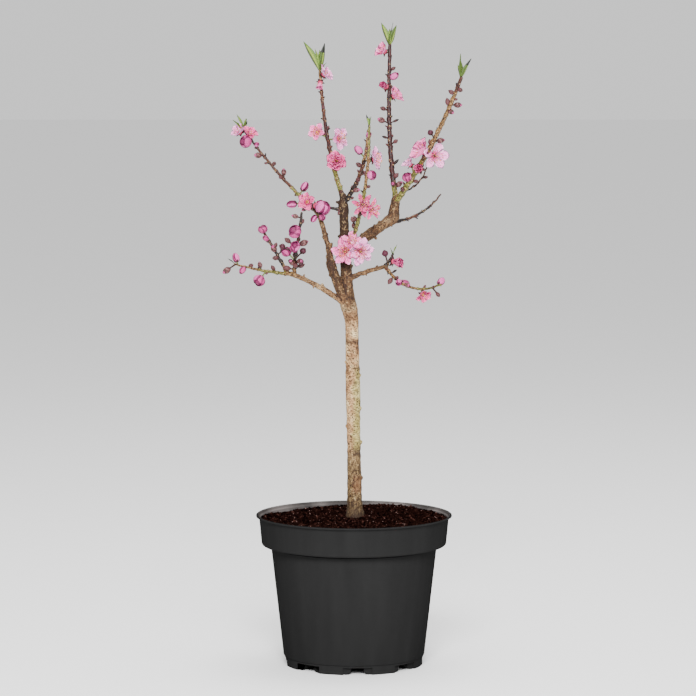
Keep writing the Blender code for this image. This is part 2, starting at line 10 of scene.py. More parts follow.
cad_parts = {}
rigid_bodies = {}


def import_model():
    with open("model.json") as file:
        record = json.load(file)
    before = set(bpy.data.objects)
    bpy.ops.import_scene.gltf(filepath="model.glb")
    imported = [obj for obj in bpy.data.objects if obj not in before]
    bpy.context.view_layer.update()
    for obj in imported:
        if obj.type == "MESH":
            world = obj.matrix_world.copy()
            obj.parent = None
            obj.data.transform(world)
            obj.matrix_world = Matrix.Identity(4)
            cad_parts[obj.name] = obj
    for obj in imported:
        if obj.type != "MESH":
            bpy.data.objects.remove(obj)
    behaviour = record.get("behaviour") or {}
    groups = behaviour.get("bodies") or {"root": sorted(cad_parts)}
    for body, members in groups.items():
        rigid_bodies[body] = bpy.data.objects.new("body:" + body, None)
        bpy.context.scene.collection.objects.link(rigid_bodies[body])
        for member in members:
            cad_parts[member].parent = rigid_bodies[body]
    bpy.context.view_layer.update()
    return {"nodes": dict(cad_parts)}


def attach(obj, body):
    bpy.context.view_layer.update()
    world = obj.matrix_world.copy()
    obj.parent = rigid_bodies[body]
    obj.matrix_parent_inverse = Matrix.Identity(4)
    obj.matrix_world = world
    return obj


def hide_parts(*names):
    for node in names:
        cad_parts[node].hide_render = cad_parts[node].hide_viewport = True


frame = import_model()
mm = 0.001


# colours, nodes and materials

def srgb(hexColour):
    steps = [int(hexColour[i:i + 2], 16) / 255 for i in (1, 3, 5)]
    return tuple(s / 12.92 if s <= 0.04045 else ((s + 0.055) / 1.055) ** 2.4 for s in steps) + (1,)


def addNode(material, kind, settings):
    node = material.node_tree.nodes.new("ShaderNode" + kind)
    setUp(material, node, settings)
    return node


def setUp(material, node, settings):
    # settings are the node's own switches, its ramp's stops, and what goes into its sockets:
    # a value, a hex colour, another node's socket, or a node for its first output
    for name, value in settings.items():
        if name == "stops":
            bands = node.color_ramp.elements
            while len(bands) < len(value):
                bands.new(0.5)
            for band, (place, shade) in zip(bands, value):
                band.position = place
                band.color = srgb(shade) if isinstance(shade, str) else (shade, shade, shade, 1)
        elif isinstance(name, str) and hasattr(node, name):
            setattr(node, name, value)
        elif isinstance(value, (bpy.types.Node, bpy.types.NodeSocket)):
            source = value.outputs[0] if isinstance(value, bpy.types.Node) else value
            material.node_tree.links.new(source, node.inputs[name])
        else:
            node.inputs[name].default_value = srgb(value) if isinstance(value, str) else value


def newMaterial(name, colour, settings):
    material = bpy.data.materials.new(name)
    material.use_nodes = True
    shader = material.node_tree.nodes["Principled BSDF"]
    setUp(material, shader, {"Base Color": colour, **settings})
    return material, shader


def plainMaterials(tones, roughness, shine=0.3):
    return [newMaterial(name, colour, {"Roughness": roughness, "Specular IOR Level": shine})[0]
            for name, colour in tones.items()]


def potPlastic():
    # polypropylene, injection moulded in black: satin, with a faint flow pattern and a fine grain
    material, shader = newMaterial("blackPolypropylene", "#1F1F1F", {"IOR": 1.49, "Specular IOR Level": 0.0})
    add = partial(addNode, material)
    place = add("TexCoord", {}).outputs["Object"]
    parts = add("SeparateXYZ", {"Vector": place})
    stretched = add("Mapping", {"Scale": (1, 1, 0.12), "Vector": place})
    streaks = add("TexNoise", {"Scale": 60, "Detail": 3, "Vector": stretched})
    tone = add("ValToRGB", {"stops": [(0.3, "#1E1E1E"), (0.7, "#212121")], "Fac": streaks})
    # dry compost dust and a painted reflection of the studio light lie pale on the walls that look inwards,
    # where they stand above the compost, most at the back
    flat = add("Mapping", {"Scale": (1, 1, 0), "Vector": place})
    skin = add("NewGeometry", {})
    looks = add("VectorMath", {"operation": "DOT_PRODUCT", 0: flat, 1: skin.outputs["Normal"]})
    cloud = add("TexNoise", {"Scale": 22, "Detail": 4, "Vector": place})
    dustAndPaintedReflection = add("ValToRGB", {"stops": [(0.36, 0.25), (0.6, 0.95)], "Fac": cloud})
    for measure, first, last, least in ((looks.outputs["Value"], -0.03, -0.06, 0),
                                        (parts.outputs["Z"], 0.160, 0.166, 0),
                                        (parts.outputs["Y"], -0.02, 0.09, 0.25)):
        share = add("MapRange", {"Value": measure, "From Min": first, "From Max": last, "To Min": least})
        dustAndPaintedReflection = add("Math", {"operation": "MULTIPLY", 0: dustAndPaintedReflection, 1: share})
    # the pale film is compost dust and painted reflection
    colour = add("Mix", {"data_type": "RGBA", 0: dustAndPaintedReflection, 6: tone, 7: "#6E6866"}).outputs[2]
    handled = add("TexNoise", {"Scale": 220, "Detail": 4, "Vector": place})
    gloss = add("ValToRGB", {"stops": [(0.35, 0.5), (0.75, 0.62)], "Fac": handled})
    grain = add("TexNoise", {"Scale": 2400, "Detail": 2, "Vector": place})  # about 0.4 mm
    relief = add("Bump", {"Strength": 0.12, "Distance": 0.0002, "Height": grain})
    setUp(material, shader, {"Base Color": colour, "Roughness": gloss, "Normal": relief})
    return material


def dampCompost():
    # peat and bark fines, damp: very dark red-brown and matt, with crumbs of about 2 mm
    material, shader = newMaterial("dampCompost", "#140604", {"Roughness": 1.0, "Specular IOR Level": 0.0})
    add = partial(addNode, material)
    place = add("TexCoord", {}).outputs["Object"]
    crumbs = add("TexNoise", {"Scale": 420, "Detail": 6, "Roughness": 0.7, "Vector": place})
    tone = add("ValToRGB", {"Fac": crumbs, "stops": [(0.32, "#040202"), (0.52, "#110705"),
                                                     (0.75, "#2E1814")]})
    relief = add("Bump", {"Strength": 0.9, "Distance": 0.001, "Height": crumbs})
    setUp(material, shader, {"Base Color": tone, "Normal": relief})
    return material


# modelling helpers

def takeUp(*pieces):
    # these pieces alone are selected, the first of them active
    if bpy.context.mode != "OBJECT":
        bpy.ops.object.mode_set(mode="OBJECT")
    bpy.ops.object.select_all(action="DESELECT")
    for piece in pieces:
        piece.select_set(True)
        bpy.context.view_layer.objects.active = pieces[0]


def applyModifiers(piece):
    takeUp(piece)
    for modifier in list(piece.modifiers):
        bpy.ops.object.modifier_apply(modifier=modifier.name)


def paint(piece, material):
    piece.data.materials.clear()
    piece.data.materials.append(material)


def finishPiece(piece, angle):
    # edges flatter than the angle are smooth, and the place goes into the mesh
    takeUp(piece)
    bpy.ops.object.shade_smooth_by_angle(angle=radians(angle))
    bpy.ops.object.transform_apply(location=True, rotation=True, scale=True)
    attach(piece, "root")


def drawOut(rise, scale):
    # what is selected is extruded upwards by so many millimetres and scaled about the axis
    bpy.ops.mesh.extrude_region_move(TRANSFORM_OT_translate={"value": (0, 0, rise * mm)})
    bpy.ops.transform.resize(value=scale, center_override=(0, 0, 0))


def closeUp():
    # all faces point outwards, and edit mode ends
    bpy.ops.mesh.select_all(action="SELECT")
    bpy.ops.mesh.normals_make_consistent(inside=False)
    bpy.ops.object.mode_set(mode="OBJECT")


# the pot, in millimetres

pot = {"steps": 144, "rimRadius": 115, "rimHeight": 176.5, "lipHeight": 2, "lipDepth": 3, "wall": 1.5,
       "collarTop": 111.5, "collarFoot": 108.5, "collarHeight": 141.2, "corner": 3, "bodyTop": 97.3,
       "bodyFoot": 82.9, "foot": 81.3, "footHeight": 11, "floor": 9.7, "notches": 8, "firstNotch": 273,
       "notchWidth": 34, "notchHeight": 8.3, "notchDepth": 12, "notchRadius": 77, "channelWidth": 14.7,
       "channelHeight": 8.2, "hub": 38, "rounding": 5.5, "drain": 4, "smoothAngle": 28}


def potProfile():
    # radius and height from the edge of the underside, up the outside and down the inside
    lipFoot = pot["rimHeight"] - pot["lipHeight"]
    inner, wall, corner = pot["rimRadius"] - pot["lipDepth"], pot["wall"], pot["corner"]
    foot, footHeight, bodyFoot, bodyTop = pot["foot"], pot["footHeight"], pot["bodyFoot"], pot["bodyTop"]
    collarFoot, collarTop, collarHeight = pot["collarFoot"], pot["collarTop"], pot["collarHeight"]
    underCollar = [(collarFoot - corner * (1 - sin(turn)), collarHeight + corner * (1 - cos(turn)))
                   for turn in (radians(15) * step for step in range(7))]
    lip = [(pot["rimRadius"] - 1 + cos(turn), lipFoot + 1 + sin(turn))
           for turn in (radians(-90 + 30 * step) for step in range(7))]
    return [(foot - 0.4, 0), (foot, 0.4), (foot, footHeight - 0.6), (foot + 0.3, footHeight - 0.1),
            (bodyFoot - 0.3, footHeight + 0.2), (bodyFoot, footHeight + 0.8),
            (bodyTop - 0.1, collarHeight - 2.4), (bodyTop - 1, collarHeight - 1.9),
            (bodyTop - 1, collarHeight), *underCollar,
            (collarTop - 0.2, lipFoot - 1), (collarTop + 0.3, lipFoot), *lip,
            (inner + 0.5, pot["rimHeight"]), (inner, pot["rimHeight"] - 0.5), (inner - 0.2, lipFoot - 0.6),
            (collarTop - wall, lipFoot - 2), (collarFoot - wall, collarHeight + corner),
            (collarFoot - 2 * wall, collarHeight + wall), (bodyTop - wall, collarHeight + wall),
            (bodyFoot - wall, pot["floor"] + 1), (bodyFoot - wall - 1, pot["floor"])]


def modelPot():
    # a disc, drawn up the profile by extruding and scaling its top face
    takeUp()
    profile = potProfile()
    bpy.ops.mesh.primitive_circle_add(vertices=pot["steps"], radius=profile[0][0] * mm, fill_type="NGON")
    piece = bpy.context.object
    piece.name = "potShell"
    bpy.ops.object.mode_set(mode="EDIT")
    bpy.ops.mesh.select_all(action="SELECT")
    for (radius, height), (nextRadius, nextHeight) in zip(profile, profile[1:]):
        drawOut(nextHeight - height, (nextRadius / radius, nextRadius / radius, 1))
    closeUp()
    cutters = [roundPot(makeCutter) for makeCutter in (channelCutter, notchCutter, drainCutter)]
    for cutter in cutters:
        boolean = piece.modifiers.new("cut", "BOOLEAN")
        boolean.operation = "DIFFERENCE"
        boolean.object = cutter
    applyModifiers(piece)
    for cutter in cutters:
        bpy.data.objects.remove(cutter, do_unlink=True)
    paint(piece, potPlastic())
    finishPiece(piece, pot["smoothAngle"])
    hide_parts("pot")


def roundPot(makeCutter):
    # one cutter for each notch, joined into one object
    cutters = []
    for index in range(pot["notches"]):
        takeUp()
        cutters.append(makeCutter())
        turn = radians(pot["firstNotch"] + 360 * index / pot["notches"])
        cutters[-1].data.transform(Matrix.Rotation(turn, 4, "Z"))
    takeUp(*cutters)
    bpy.ops.object.join()
    return cutters[0]


def barCutter(inner, outer, width, low, high):
    bpy.ops.mesh.primitive_cube_add(size=1, location=(0, 0, 0))
    for corner in bpy.context.object.data.vertices:
        x, y, z = corner.co
        corner.co = (inner + (x + 0.5) * (outer - inner)) * mm, y * width * mm, (high if z > 0 else low) * mm
    return bpy.context.object


def channelCutter():
    # a bar under the floor whose lower edges flare, which leaves rounded pads on either side
    width, height = pot["channelWidth"], pot["rounding"]
    cutter = barCutter(pot["hub"], pot["notchRadius"] + 1, width, height, pot["channelHeight"])
    bpy.ops.object.mode_set(mode="EDIT")
    bpy.ops.mesh.select_mode(type="FACE")
    bpy.ops.mesh.select_all(action="DESELECT")
    bpy.ops.object.mode_set(mode="OBJECT")
    for face in cutter.data.polygons:
        face.select = face.normal.z < -0.9
    bpy.ops.object.mode_set(mode="EDIT")
    for turn in (radians(15) * step for step in range(1, 7)):
        drop = pot["rounding"] * (1 - sin(turn))
        wider = pot["channelWidth"] + 2 * pot["rounding"] * (1 - cos(turn))
        drawOut(drop - height, (1, wider / width, 1))
        height, width = drop, wider
    drawOut(-1, (1, 1, 1))
    closeUp()
    return cutter


def notchCutter():
    inner = pot["notchRadius"]
    return barCutter(inner, inner + pot["notchDepth"], pot["notchWidth"], -1, pot["notchHeight"])


def drainCutter():
    bpy.ops.mesh.primitive_cylinder_add(vertices=24, radius=pot["drain"] * mm, depth=8 * mm)
    place = Vector((pot["hub"] + 2 * pot["drain"], 0, pot["floor"])) * mm
    bpy.context.object.data.transform(Matrix.Translation(place))
    return bpy.context.object


# compost, in millimetres; mounds have a place, a width and a height, and lumps a size, a height and a seed

compost = {"level": 171.7, "radius": 109.3, "grid": 150, "skirt": 6, "smoothAngle": 60,
           "mounds": ((42, 78, 26, 3.5), (-60, 62, 40, -3.5), (75, -20, 28, 1.5), (-40, -40, 30, -1.0)),
           "lumps": ((25, 0.9, 3), (8, 1.6, 7), (3, 0.8, 11)), "crumbs": 5200, "crumbReach": 108.5,
           "heaped": 420, "heapFoot": 10.2, "heapWidth": 4.5, "heapHeight": 3.0, "heapSlope": 0.8}
crumbTones = {"wetPeat": "#050202", "peatCrumb": "#140806", "barkFines": "#251410", "rustyFibre": "#36201B",
              "paleFleck": "#6E5650"}


def compostHeight(x, y):
    level = compost["level"]
    for moundX, moundY, width, height in compost["mounds"]:
        level += height * exp(-((x - moundX) ** 2 + (y - moundY) ** 2) / width ** 2)
    for size, height, seed in compost["lumps"]:
        level += height * noise.noise((x / size, y / size, seed))
    return min(level, pot["rimHeight"] - pot["lipHeight"])


def modelCompost():
    soil = dampCompost()
    paint(frame["nodes"]["soil"], soil)
    takeUp()
    edge = compost["radius"] * mm
    grid = compost["grid"]
    bpy.ops.mesh.primitive_grid_add(x_subdivisions=grid, y_subdivisions=grid, size=2 * edge)
    piece = bpy.context.object
    piece.name = "compostTop"
    for corner in piece.data.vertices:
        # the square sheet is drawn in to a disc
        x, y = corner.co.x / edge, corner.co.y / edge
        corner.co.x = edge * x * sqrt(1 - y * y / 2)
        corner.co.y = edge * y * sqrt(1 - x * x / 2)
        corner.co.z = compostHeight(corner.co.x / mm, corner.co.y / mm) * mm
    bpy.ops.object.mode_set(mode="EDIT")
    bpy.ops.mesh.select_all(action="SELECT")
    bpy.ops.mesh.region_to_loop()
    bpy.ops.mesh.extrude_edges_move(TRANSFORM_OT_translate={"value": (0, 0, -compost["skirt"] * mm)})
    bpy.ops.object.mode_set(mode="OBJECT")
    paint(piece, soil)
    finishPiece(piece, compost["smoothAngle"])
    scatterCrumbs()


def scatterCrumbs():
    # loose crumbs, bark bits and a few pale flecks lie on the top, in plain colours dealt out by crumb
    dice = random.Random(5)
    pile = Pile("compostCrumbs", plainMaterials(crumbTones, 1.0, 0.0))
    shapes = [crumbShape(dice) for _ in range(8)]
    for index in range(compost["crumbs"]):
        reach = compost["crumbReach"] * sqrt(dice.random())
        turn = dice.uniform(0, tau)
        x, y = reach * cos(turn), reach * sin(turn)
        size = 0.6 + 1.5 * dice.random() ** 3
        tone = dice.choices((0, 1, 2, 3, 4), (40, 30, 17, 9, 3))[0]
        size = min(size, 0.9) if tone == 4 else size
        place = Matrix.Translation((x, y, compostHeight(x, y) + size * 0.15))
        spin = Matrix.Rotation(dice.uniform(0, tau), 4, Vector((dice.gauss(0, 1), dice.gauss(0, 1), 1)))
        squash = Matrix.Diagonal((size, size * dice.uniform(0.5, 1), size * dice.uniform(0.4, 0.8), 1))
        pile.add(*shapes[index % len(shapes)], tone, place @ spin @ squash)
    for index in range(compost["heaped"]):
        # crumbs heaped against the foot of the stem
        turn = dice.uniform(0, tau)
        out = compost["heapWidth"] * dice.random() ** 1.5
        reach = compost["heapFoot"] + out
        x, y = stemFoot[0] + reach * cos(turn), stemFoot[1] + reach * sin(turn)
        size = dice.uniform(0.7, 1.8)
        lift = max(0, compost["heapHeight"] - compost["heapSlope"] * out) * dice.random()
        place = Matrix.Translation((x, y, compostHeight(x, y) + lift))
        squash = Matrix.Diagonal((size, size * 0.8, size * 0.7, 1))
        tone = dice.choices((0, 1, 2, 3), (40, 30, 20, 10))[0]
        pile.add(*shapes[index % len(shapes)], tone, place @ squash)
    pile.build(smooth=False)


def crumbShape(dice):
    takeUp()
    bpy.ops.mesh.primitive_ico_sphere_add(subdivisions=1, radius=1)
    lump = bpy.context.object
    points = [corner.co * dice.uniform(0.7, 1.2) for corner in lump.data.vertices]
    faces = [tuple(face.vertices) for face in lump.data.polygons]
    bpy.data.objects.remove(lump, do_unlink=True)
    return points, faces


class Pile:
    # many small shapes in one mesh, in millimetres, each face with the colour that it is dealt
    def __init__(self, name, materials):
        self.name = name
        self.materials = materials
        self.points = []
        self.faces = []
        self.tones = []
        self.count = 0

    def add(self, points, faces, tones, place=Matrix()):
        spots = np.array([tuple(point) for point in points])
        self.points.append(spots @ np.array(place.to_3x3()).T + np.array(place.translation))
        self.faces += [tuple(corner + self.count for corner in face) for face in faces]
        self.tones += [tones] * len(faces) if isinstance(tones, int) else list(tones)
        self.count += len(spots)

    def build(self, smooth=True):
        mesh = bpy.data.meshes.new(self.name)
        mesh.from_pydata(np.concatenate(self.points) * mm, [], self.faces)
        for material in self.materials:
            mesh.materials.append(material)
        mesh.polygons.foreach_set("material_index", self.tones)
        mesh.polygons.foreach_set("use_smooth", [smooth] * len(self.faces))
        mesh.update()
        piece = bpy.data.objects.new(self.name, mesh)
        bpy.context.scene.collection.objects.link(piece)
        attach(piece, "root")
        print(self.name, len(self.faces), "faces")
        return piece


def dressShoots(piece):
    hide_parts(*shoots)


# how the tree grows, in millimetres and degrees

Limb = namedtuple("Limb", "parent along azimuth rise length swing curl thick thin")
stemFoot = (1.2, 0, 171)
limbs = {
    "trunk": Limb(None, 0, 155, 89, 232, 0, 0, 8.8, 7.5),
    "trunk_head": Limb("trunk", 1, 178, 82, 30, 0, -10, 7.5, 8.2),
    "left_arm": Limb("trunk_head", 0.55, -163, 62, 59, 15, 8, 6.2, 5.0),
    "leader": Limb("trunk_head", 0.75, 131, 85, 125, -21, 0, 7.8, 4.3),
    "right_bough": Limb("leader", 0.47, 5, 39, 71, 17, -9, 5.6, 5.6),
    "right_riser": Limb("right_bough", 0.99, 48, 78, 23, 0, 0, 6.0, 5.2),
    "left_low_bough": Limb("trunk_head", 0.6, -168, 39, 82, 12, -18, 3.6, 2.7),
    "left_rise": Limb("left_arm", 0.98, 151, 83, 63, -11, -21, 3.4, 2.4),
    "right_low_bough": Limb("leader", 0.22, -20, 25, 52, -2, -12, 2.8, 2.3),
    "shoot_far_left": Limb("left_rise", 0.98, 141, 33, 141, 13, 18, 2.3, 1.2),
    "shoot_tall_left": Limb("leader", 0.98, 116, 49, 171, -16, 21, 3.0, 1.6),
    "shoot_middle_short": Limb("leader", 0.93, -31, 47, 96, -21, 40, 3.0, 1.4),
    "shoot_middle_front": Limb("leader", 0.42, -53, 57, 181, -39, 8, 2.5, 1.4),
    "shoot_tall_right": Limb("right_riser", 0.98, 110, 64, 187, -31, 19, 3.2, 2.0),
    "shoot_far_right": Limb("right_riser", 0.8, -45, 46, 190, -13, 11, 3.5, 2.0),
    "shoot_thin_right": Limb("shoot_far_right", 0.1, 36, 8, 44, -35, 70, 1.2, 0.8),
    "twig_right_back": Limb("right_bough", 0.85, 36, 0, 100, 21, 34, 2.2, 0.9),
    "shoot_low_left": Limb("left_low_bough", 0.98, -148, 6, 77, -6, 10, 2.2, 1.0),
    "shoot_low_left_rising": Limb("shoot_low_left", 0.08, 147, 56, 62, -9, -7, 2.2, 1.4),
    "spur_low_left": Limb("left_low_bough", 0.95, -88, 57, 80, 40, 23, 2.0, 1.4),
    "shoot_low_right": Limb("right_low_bough", 0.98, -45, -46, 92, 6, 71, 1.9, 1.1),
    "spur_low_right": Limb("right_low_bough", 0.98, 37, 44, 19, 5, 13, 1.7, 1.3),
    "spur_leader": Limb("leader", 0.88, 188, -4, 16, 0, 20, 2.0, 1.6),
    "spur_fork": Limb("leader", 0.45, -78, 8, 19, 10, 20, 2.2, 1.6),
}
oldWood = ("trunk", "left_arm", "leader", "right_bough", "right_riser", "left_low_bough", "left_rise",
           "right_low_bough")
shoots = [name for name in limbs if name not in oldWood and name != "trunk_head"]
swells = {
    "trunk": ((0, 2.2, 12), (85, -0.5, 40), (155, 0.6, 25), (257, 2.1, 16)),
    "left_arm": ((59, 0.7, 8),),
    "leader": ((70, 1.2, 10), (112, 1.6, 9)),
    "right_bough": ((38, 0.9, 9), (68, 1.2, 9)),
}


def compass(azimuth, lift):
    turn, climb = radians(azimuth), radians(lift)
    return Vector((cos(climb) * cos(turn), cos(climb) * sin(turn), sin(climb)))


def growLine(name, lines):
    # the source's rule: so many strides, each turned a little from the one before
    limb = limbs[name]
    start = pointAt(lines[limb.parent], limb.along) if limb.parent else Vector(stemFoot)
    steps = max(3, round(limb.length / (twig if name in shoots else bark)["stride"]))
    line = [start]
    for step in range(steps):
        share = (step + 0.5) / steps
        heading = compass(limb.azimuth + limb.swing * share, limb.rise + limb.curl * share)
        line.append(line[-1] + heading * (limb.length / steps))
    return line


def pointAt(line, along):
    place = min(max(along, 0), 1) * (len(line) - 1)
    index = min(int(place), len(line) - 2)
    return line[index].lerp(line[index + 1], place - index)


def headingAt(line, along):
    return (pointAt(line, along + 0.04) - pointAt(line, along - 0.04)).normalized()


def fineLine(line, parts, wobble=0.0, seed=0):
    # a smooth curve through the strides, with the small bends of real wood
    ends = [line[0] * 2 - line[1]] + list(line) + [line[-1] * 2 - line[-2]]
    curve = []
    for index in range(1, len(ends) - 2):
        before, here, after, beyond = ends[index - 1:index + 3]
        for part in range(parts):
            t = part / parts
            curve.append(0.5 * (2 * here + (after - before) * t
                                + (2 * before - 5 * here + 4 * after - beyond) * t * t
                                + (3 * here - before - 3 * after + beyond) * t ** 3))
    curve.append(line[-1].copy())
    total = len(curve)
    for index, point in enumerate(curve):
        calm = min(1, index / 6)
        bend = Vector([noise.noise((seed * 7 + axis * 31, index * 0.21 * 12 / parts, seed))
                       for axis in range(3)])
        curve[index] = point + bend * wobble * calm * min(1, (total - index) / 3 + 0.3)
    return curve


def frameRings(line):
    # a heading and two directions across it at every point, carried along without twisting
    rings = []
    side = (line[1] - line[0]).orthogonal().normalized()
    for index, point in enumerate(line):
        heading = (line[min(index + 1, len(line) - 1)] - line[max(index - 1, 0)]).normalized()
        side = (side - heading * side.dot(heading)).normalized()
        rings.append((point, heading, side, heading.cross(side)))
    return rings


def bandFaces(rings, sides, first=0):
    # the faces between closed rings of points that follow each other
    return [(foot + s, foot + (s + 1) % sides, foot + sides + (s + 1) % sides, foot + sides + s)
            for foot in range(first, first + (rings - 1) * sides, sides) for s in range(sides)]


def tube(line, radii, sides, tip=True):
    # a closed round tube, whose tip may be rounded
    turns = [tau * index / sides for index in range(sides)]

    def ringOf(centre, side, across, radius, share=1):
        return [centre + (side * cos(turn) + across * sin(turn)) * radius * share for turn in turns]
    points = []
    for (point, heading, side, across), radius in zip(frameRings(line), radii):
        points += ringOf(point, side, across, radius)
    for share, push in ((0.8, 0.5), (0.4, 0.85)) if tip else ():
        points += ringOf(point + heading * radius * push, side, across, radius, share)
    count = len(points)
    faces = bandFaces(count // sides, sides)
    return points, faces + [tuple(reversed(range(sides))), tuple(range(count - sides, count))]


def radiusAlong(name, distance, length):
    limb = limbs[name]
    radius = limb.thick + (limb.thin - limb.thick) * distance / length
    for place, extra, width in swells.get(name, ()):
        radius += extra * exp(-((distance - place) / width) ** 2)
    return radius


def growTree():
    # the source's lines first, then each as a smooth curve
    lines = {}
    for name in limbs:
        lines[name] = growLine(name, lines)
    return {name: fineLine(line, twig["parts"] if name in shoots else bark["parts"], 0.8, index)
            for index, (name, line) in enumerate(lines.items())}


def around(heading, turn):
    # a direction square to the heading
    side = heading.orthogonal().normalized()
    return side * cos(turn) + heading.cross(side) * sin(turn)


def aim(origin, direction, roll=0.0):
    turn = direction.to_track_quat("Z", "Y").to_matrix().to_4x4()
    return Matrix.Translation(origin) @ turn @ Matrix.Rotation(roll, 4, "Z")


def ovoid(width, length, sides, rings, pointed=0.75):
    # a closed bud shape along +Z, round at the foot and drawn to a point at the tip
    points = [Vector((0, 0, -length / 2))]
    for ring in range(1, rings):
        level = pi * (ring / rings - 0.5)
        high = sin(level)
        reach = cos(level) * (1 - pointed * max(high, 0) ** 2) * width / 2
        points += [Vector((reach * cos(tau * s / sides), reach * sin(tau * s / sides),
                           high * length / 2)) for s in range(sides)]
    points.append(Vector((0, 0, length / 2)))
    last = len(points) - 1
    top = last - sides
    return points, ([(0, 1 + (s + 1) % sides, 1 + s) for s in range(sides)] + bandFaces(rings - 1, sides, 1)
                    + [(top + s, top + (s + 1) % sides, last) for s in range(sides)])


# old wood: the stem and the boughs, in millimetres; each knob has a height, an azimuth and a size

bark = {"parts": 6, "stride": 12, "voxel": 0.64, "sides": 24, "flare": 1.2, "flareLength": 11,
        "evening": 4, "smoothAngle": 80, "scars": 34, "foot": 160, "trunkLength": 262, "knobReach": 7.4,
        "knobs": ((47, 5, 2.6), (88, 10, 2.8), (107, 185, 2.2), (127, 0, 2.8), (165, -5, 2.6),
                  (180, 178, 2.2))}


# limb, place, azimuth, lift, length and radius of what is left of a twig that was cut or broke
stubs = (
    ("left_arm", 0.97, 172, 66, 10, 2.7), ("left_rise", 0.18, 20, 76, 13, 1.5),
    ("left_rise", 0.42, 178, 52, 7, 1.5), ("leader", 0.6, 175, 25, 8, 2.0),
    ("leader", 0.93, 178, 15, 8, 1.9), ("leader", 0.97, 165, 55, 8, 1.6),
    ("right_bough", 0.3, 20, 75, 9, 1.9), ("right_bough", 0.55, -20, -50, 8.5, 1.9),
    ("right_bough", 0.68, 30, 80, 8, 2.2), ("right_bough", 0.92, -60, -55, 8, 1.8),
    ("trunk_head", 0.9, -20, 30, 9.5, 2.3), ("leader", 0.3, 20, 40, 9, 2.0),
    ("left_low_bough", 0.62, -100, -60, 5, 1.3), ("left_low_bough", 0.8, 60, 60, 5, 1.3),
    ("right_low_bough", 0.5, -80, -60, 4.5, 1.2), ("right_low_bough", 0.75, 60, 60, 4.5, 1.2))


def modelOldWood(curves):
    pile = Pile("oldWood", [barkMaterial()])
    for name in oldWood:
        line = curves[name] + (curves["trunk_head"][1:] if name == "trunk" else [])
        distances = np.cumsum([0] + [(b - a).length for a, b in zip(line, line[1:])])
        flare = 0 if name == "trunk" else bark["flare"]
        radii = [radiusAlong(name, distance, distances[-1])
                 + flare * exp(-(distance / bark["flareLength"]) ** 2) for distance in distances]
        pile.add(*tube(line, radii, bark["sides"]), 0)
    addKnobs(pile, curves)
    piece = pile.build()
    remesh = piece.modifiers.new("one skin", "REMESH")
    remesh.mode = "VOXEL"
    remesh.voxel_size = bark["voxel"] * mm
    applyModifiers(piece)
    even = piece.modifiers.new("even", "SMOOTH")
    even.factor = 0.5
    even.iterations = bark["evening"]
    applyModifiers(piece)
    roughenBark(piece, curves)
    finishPiece(piece, bark["smoothAngle"])
    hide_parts(*oldWood)
    print("one skin", len(piece.data.polygons), "faces")


def addKnobs(pile, curves):
    # old bud scars on the stem, stubs where twigs were cut back, and small dormant buds
    trunk = curves["trunk"] + curves["trunk_head"][1:]
    for height, azimuth, size in bark["knobs"]:
        centre = pointAt(trunk, height / bark["trunkLength"]) + compass(azimuth, 0) * bark["knobReach"]
        pile.add(*ovoid(size * 1.9, size * 2.3, 10, 8, 0.4), 0, aim(centre, compass(azimuth, 35)))
    for name, along, azimuth, lift, length, radius in stubs:
        foot = pointAt(curves[name], along)
        line = [foot + compass(azimuth, lift) * length * step / 4 for step in range(5)]
        pile.add(*tube(line, [radius * share for share in (1.5, 1.3, 1.1, 1, 0.85)], 10), 0)
    dice = random.Random(9)
    for _ in range(bark["scars"]):
        name = dice.choice(oldWood)
        along = dice.uniform(0.12, 0.95)
        heading = headingAt(curves[name], along)
        outwards = around(heading, dice.uniform(0, tau))
        radius = limbs[name].thick + (limbs[name].thin - limbs[name].thick) * along
        size = dice.uniform(1.4, 2.6)
        centre = pointAt(curves[name], along) + outwards * (radius - (0.6 if name == "trunk" else 0.1))
        place = aim(centre, (outwards + heading * 0.8).normalized())
        pile.add(*ovoid(size * 1.5, size * 2.1, 8, 6, 0.5), 0, place)


# how dark and weathered each limb's bark is, at its foot and at its tip
limbAge = {"trunk": (0.0, 0.12), "trunk_head": (0.15, 0.4), "left_arm": (0.6, 0.85), "leader": (0.55, 1.25),
           "right_bough": (0.65, 0.5), "right_riser": (0.75, 0.8), "left_low_bough": (0.3, 0.4),
           "left_rise": (0.8, 0.6), "right_low_bough": (0.5, 0.6)}
scar = {"place": (1.5, -8.2, 431.5), "size": (4.2, 4.2, 2.0), "depth": 1.3}


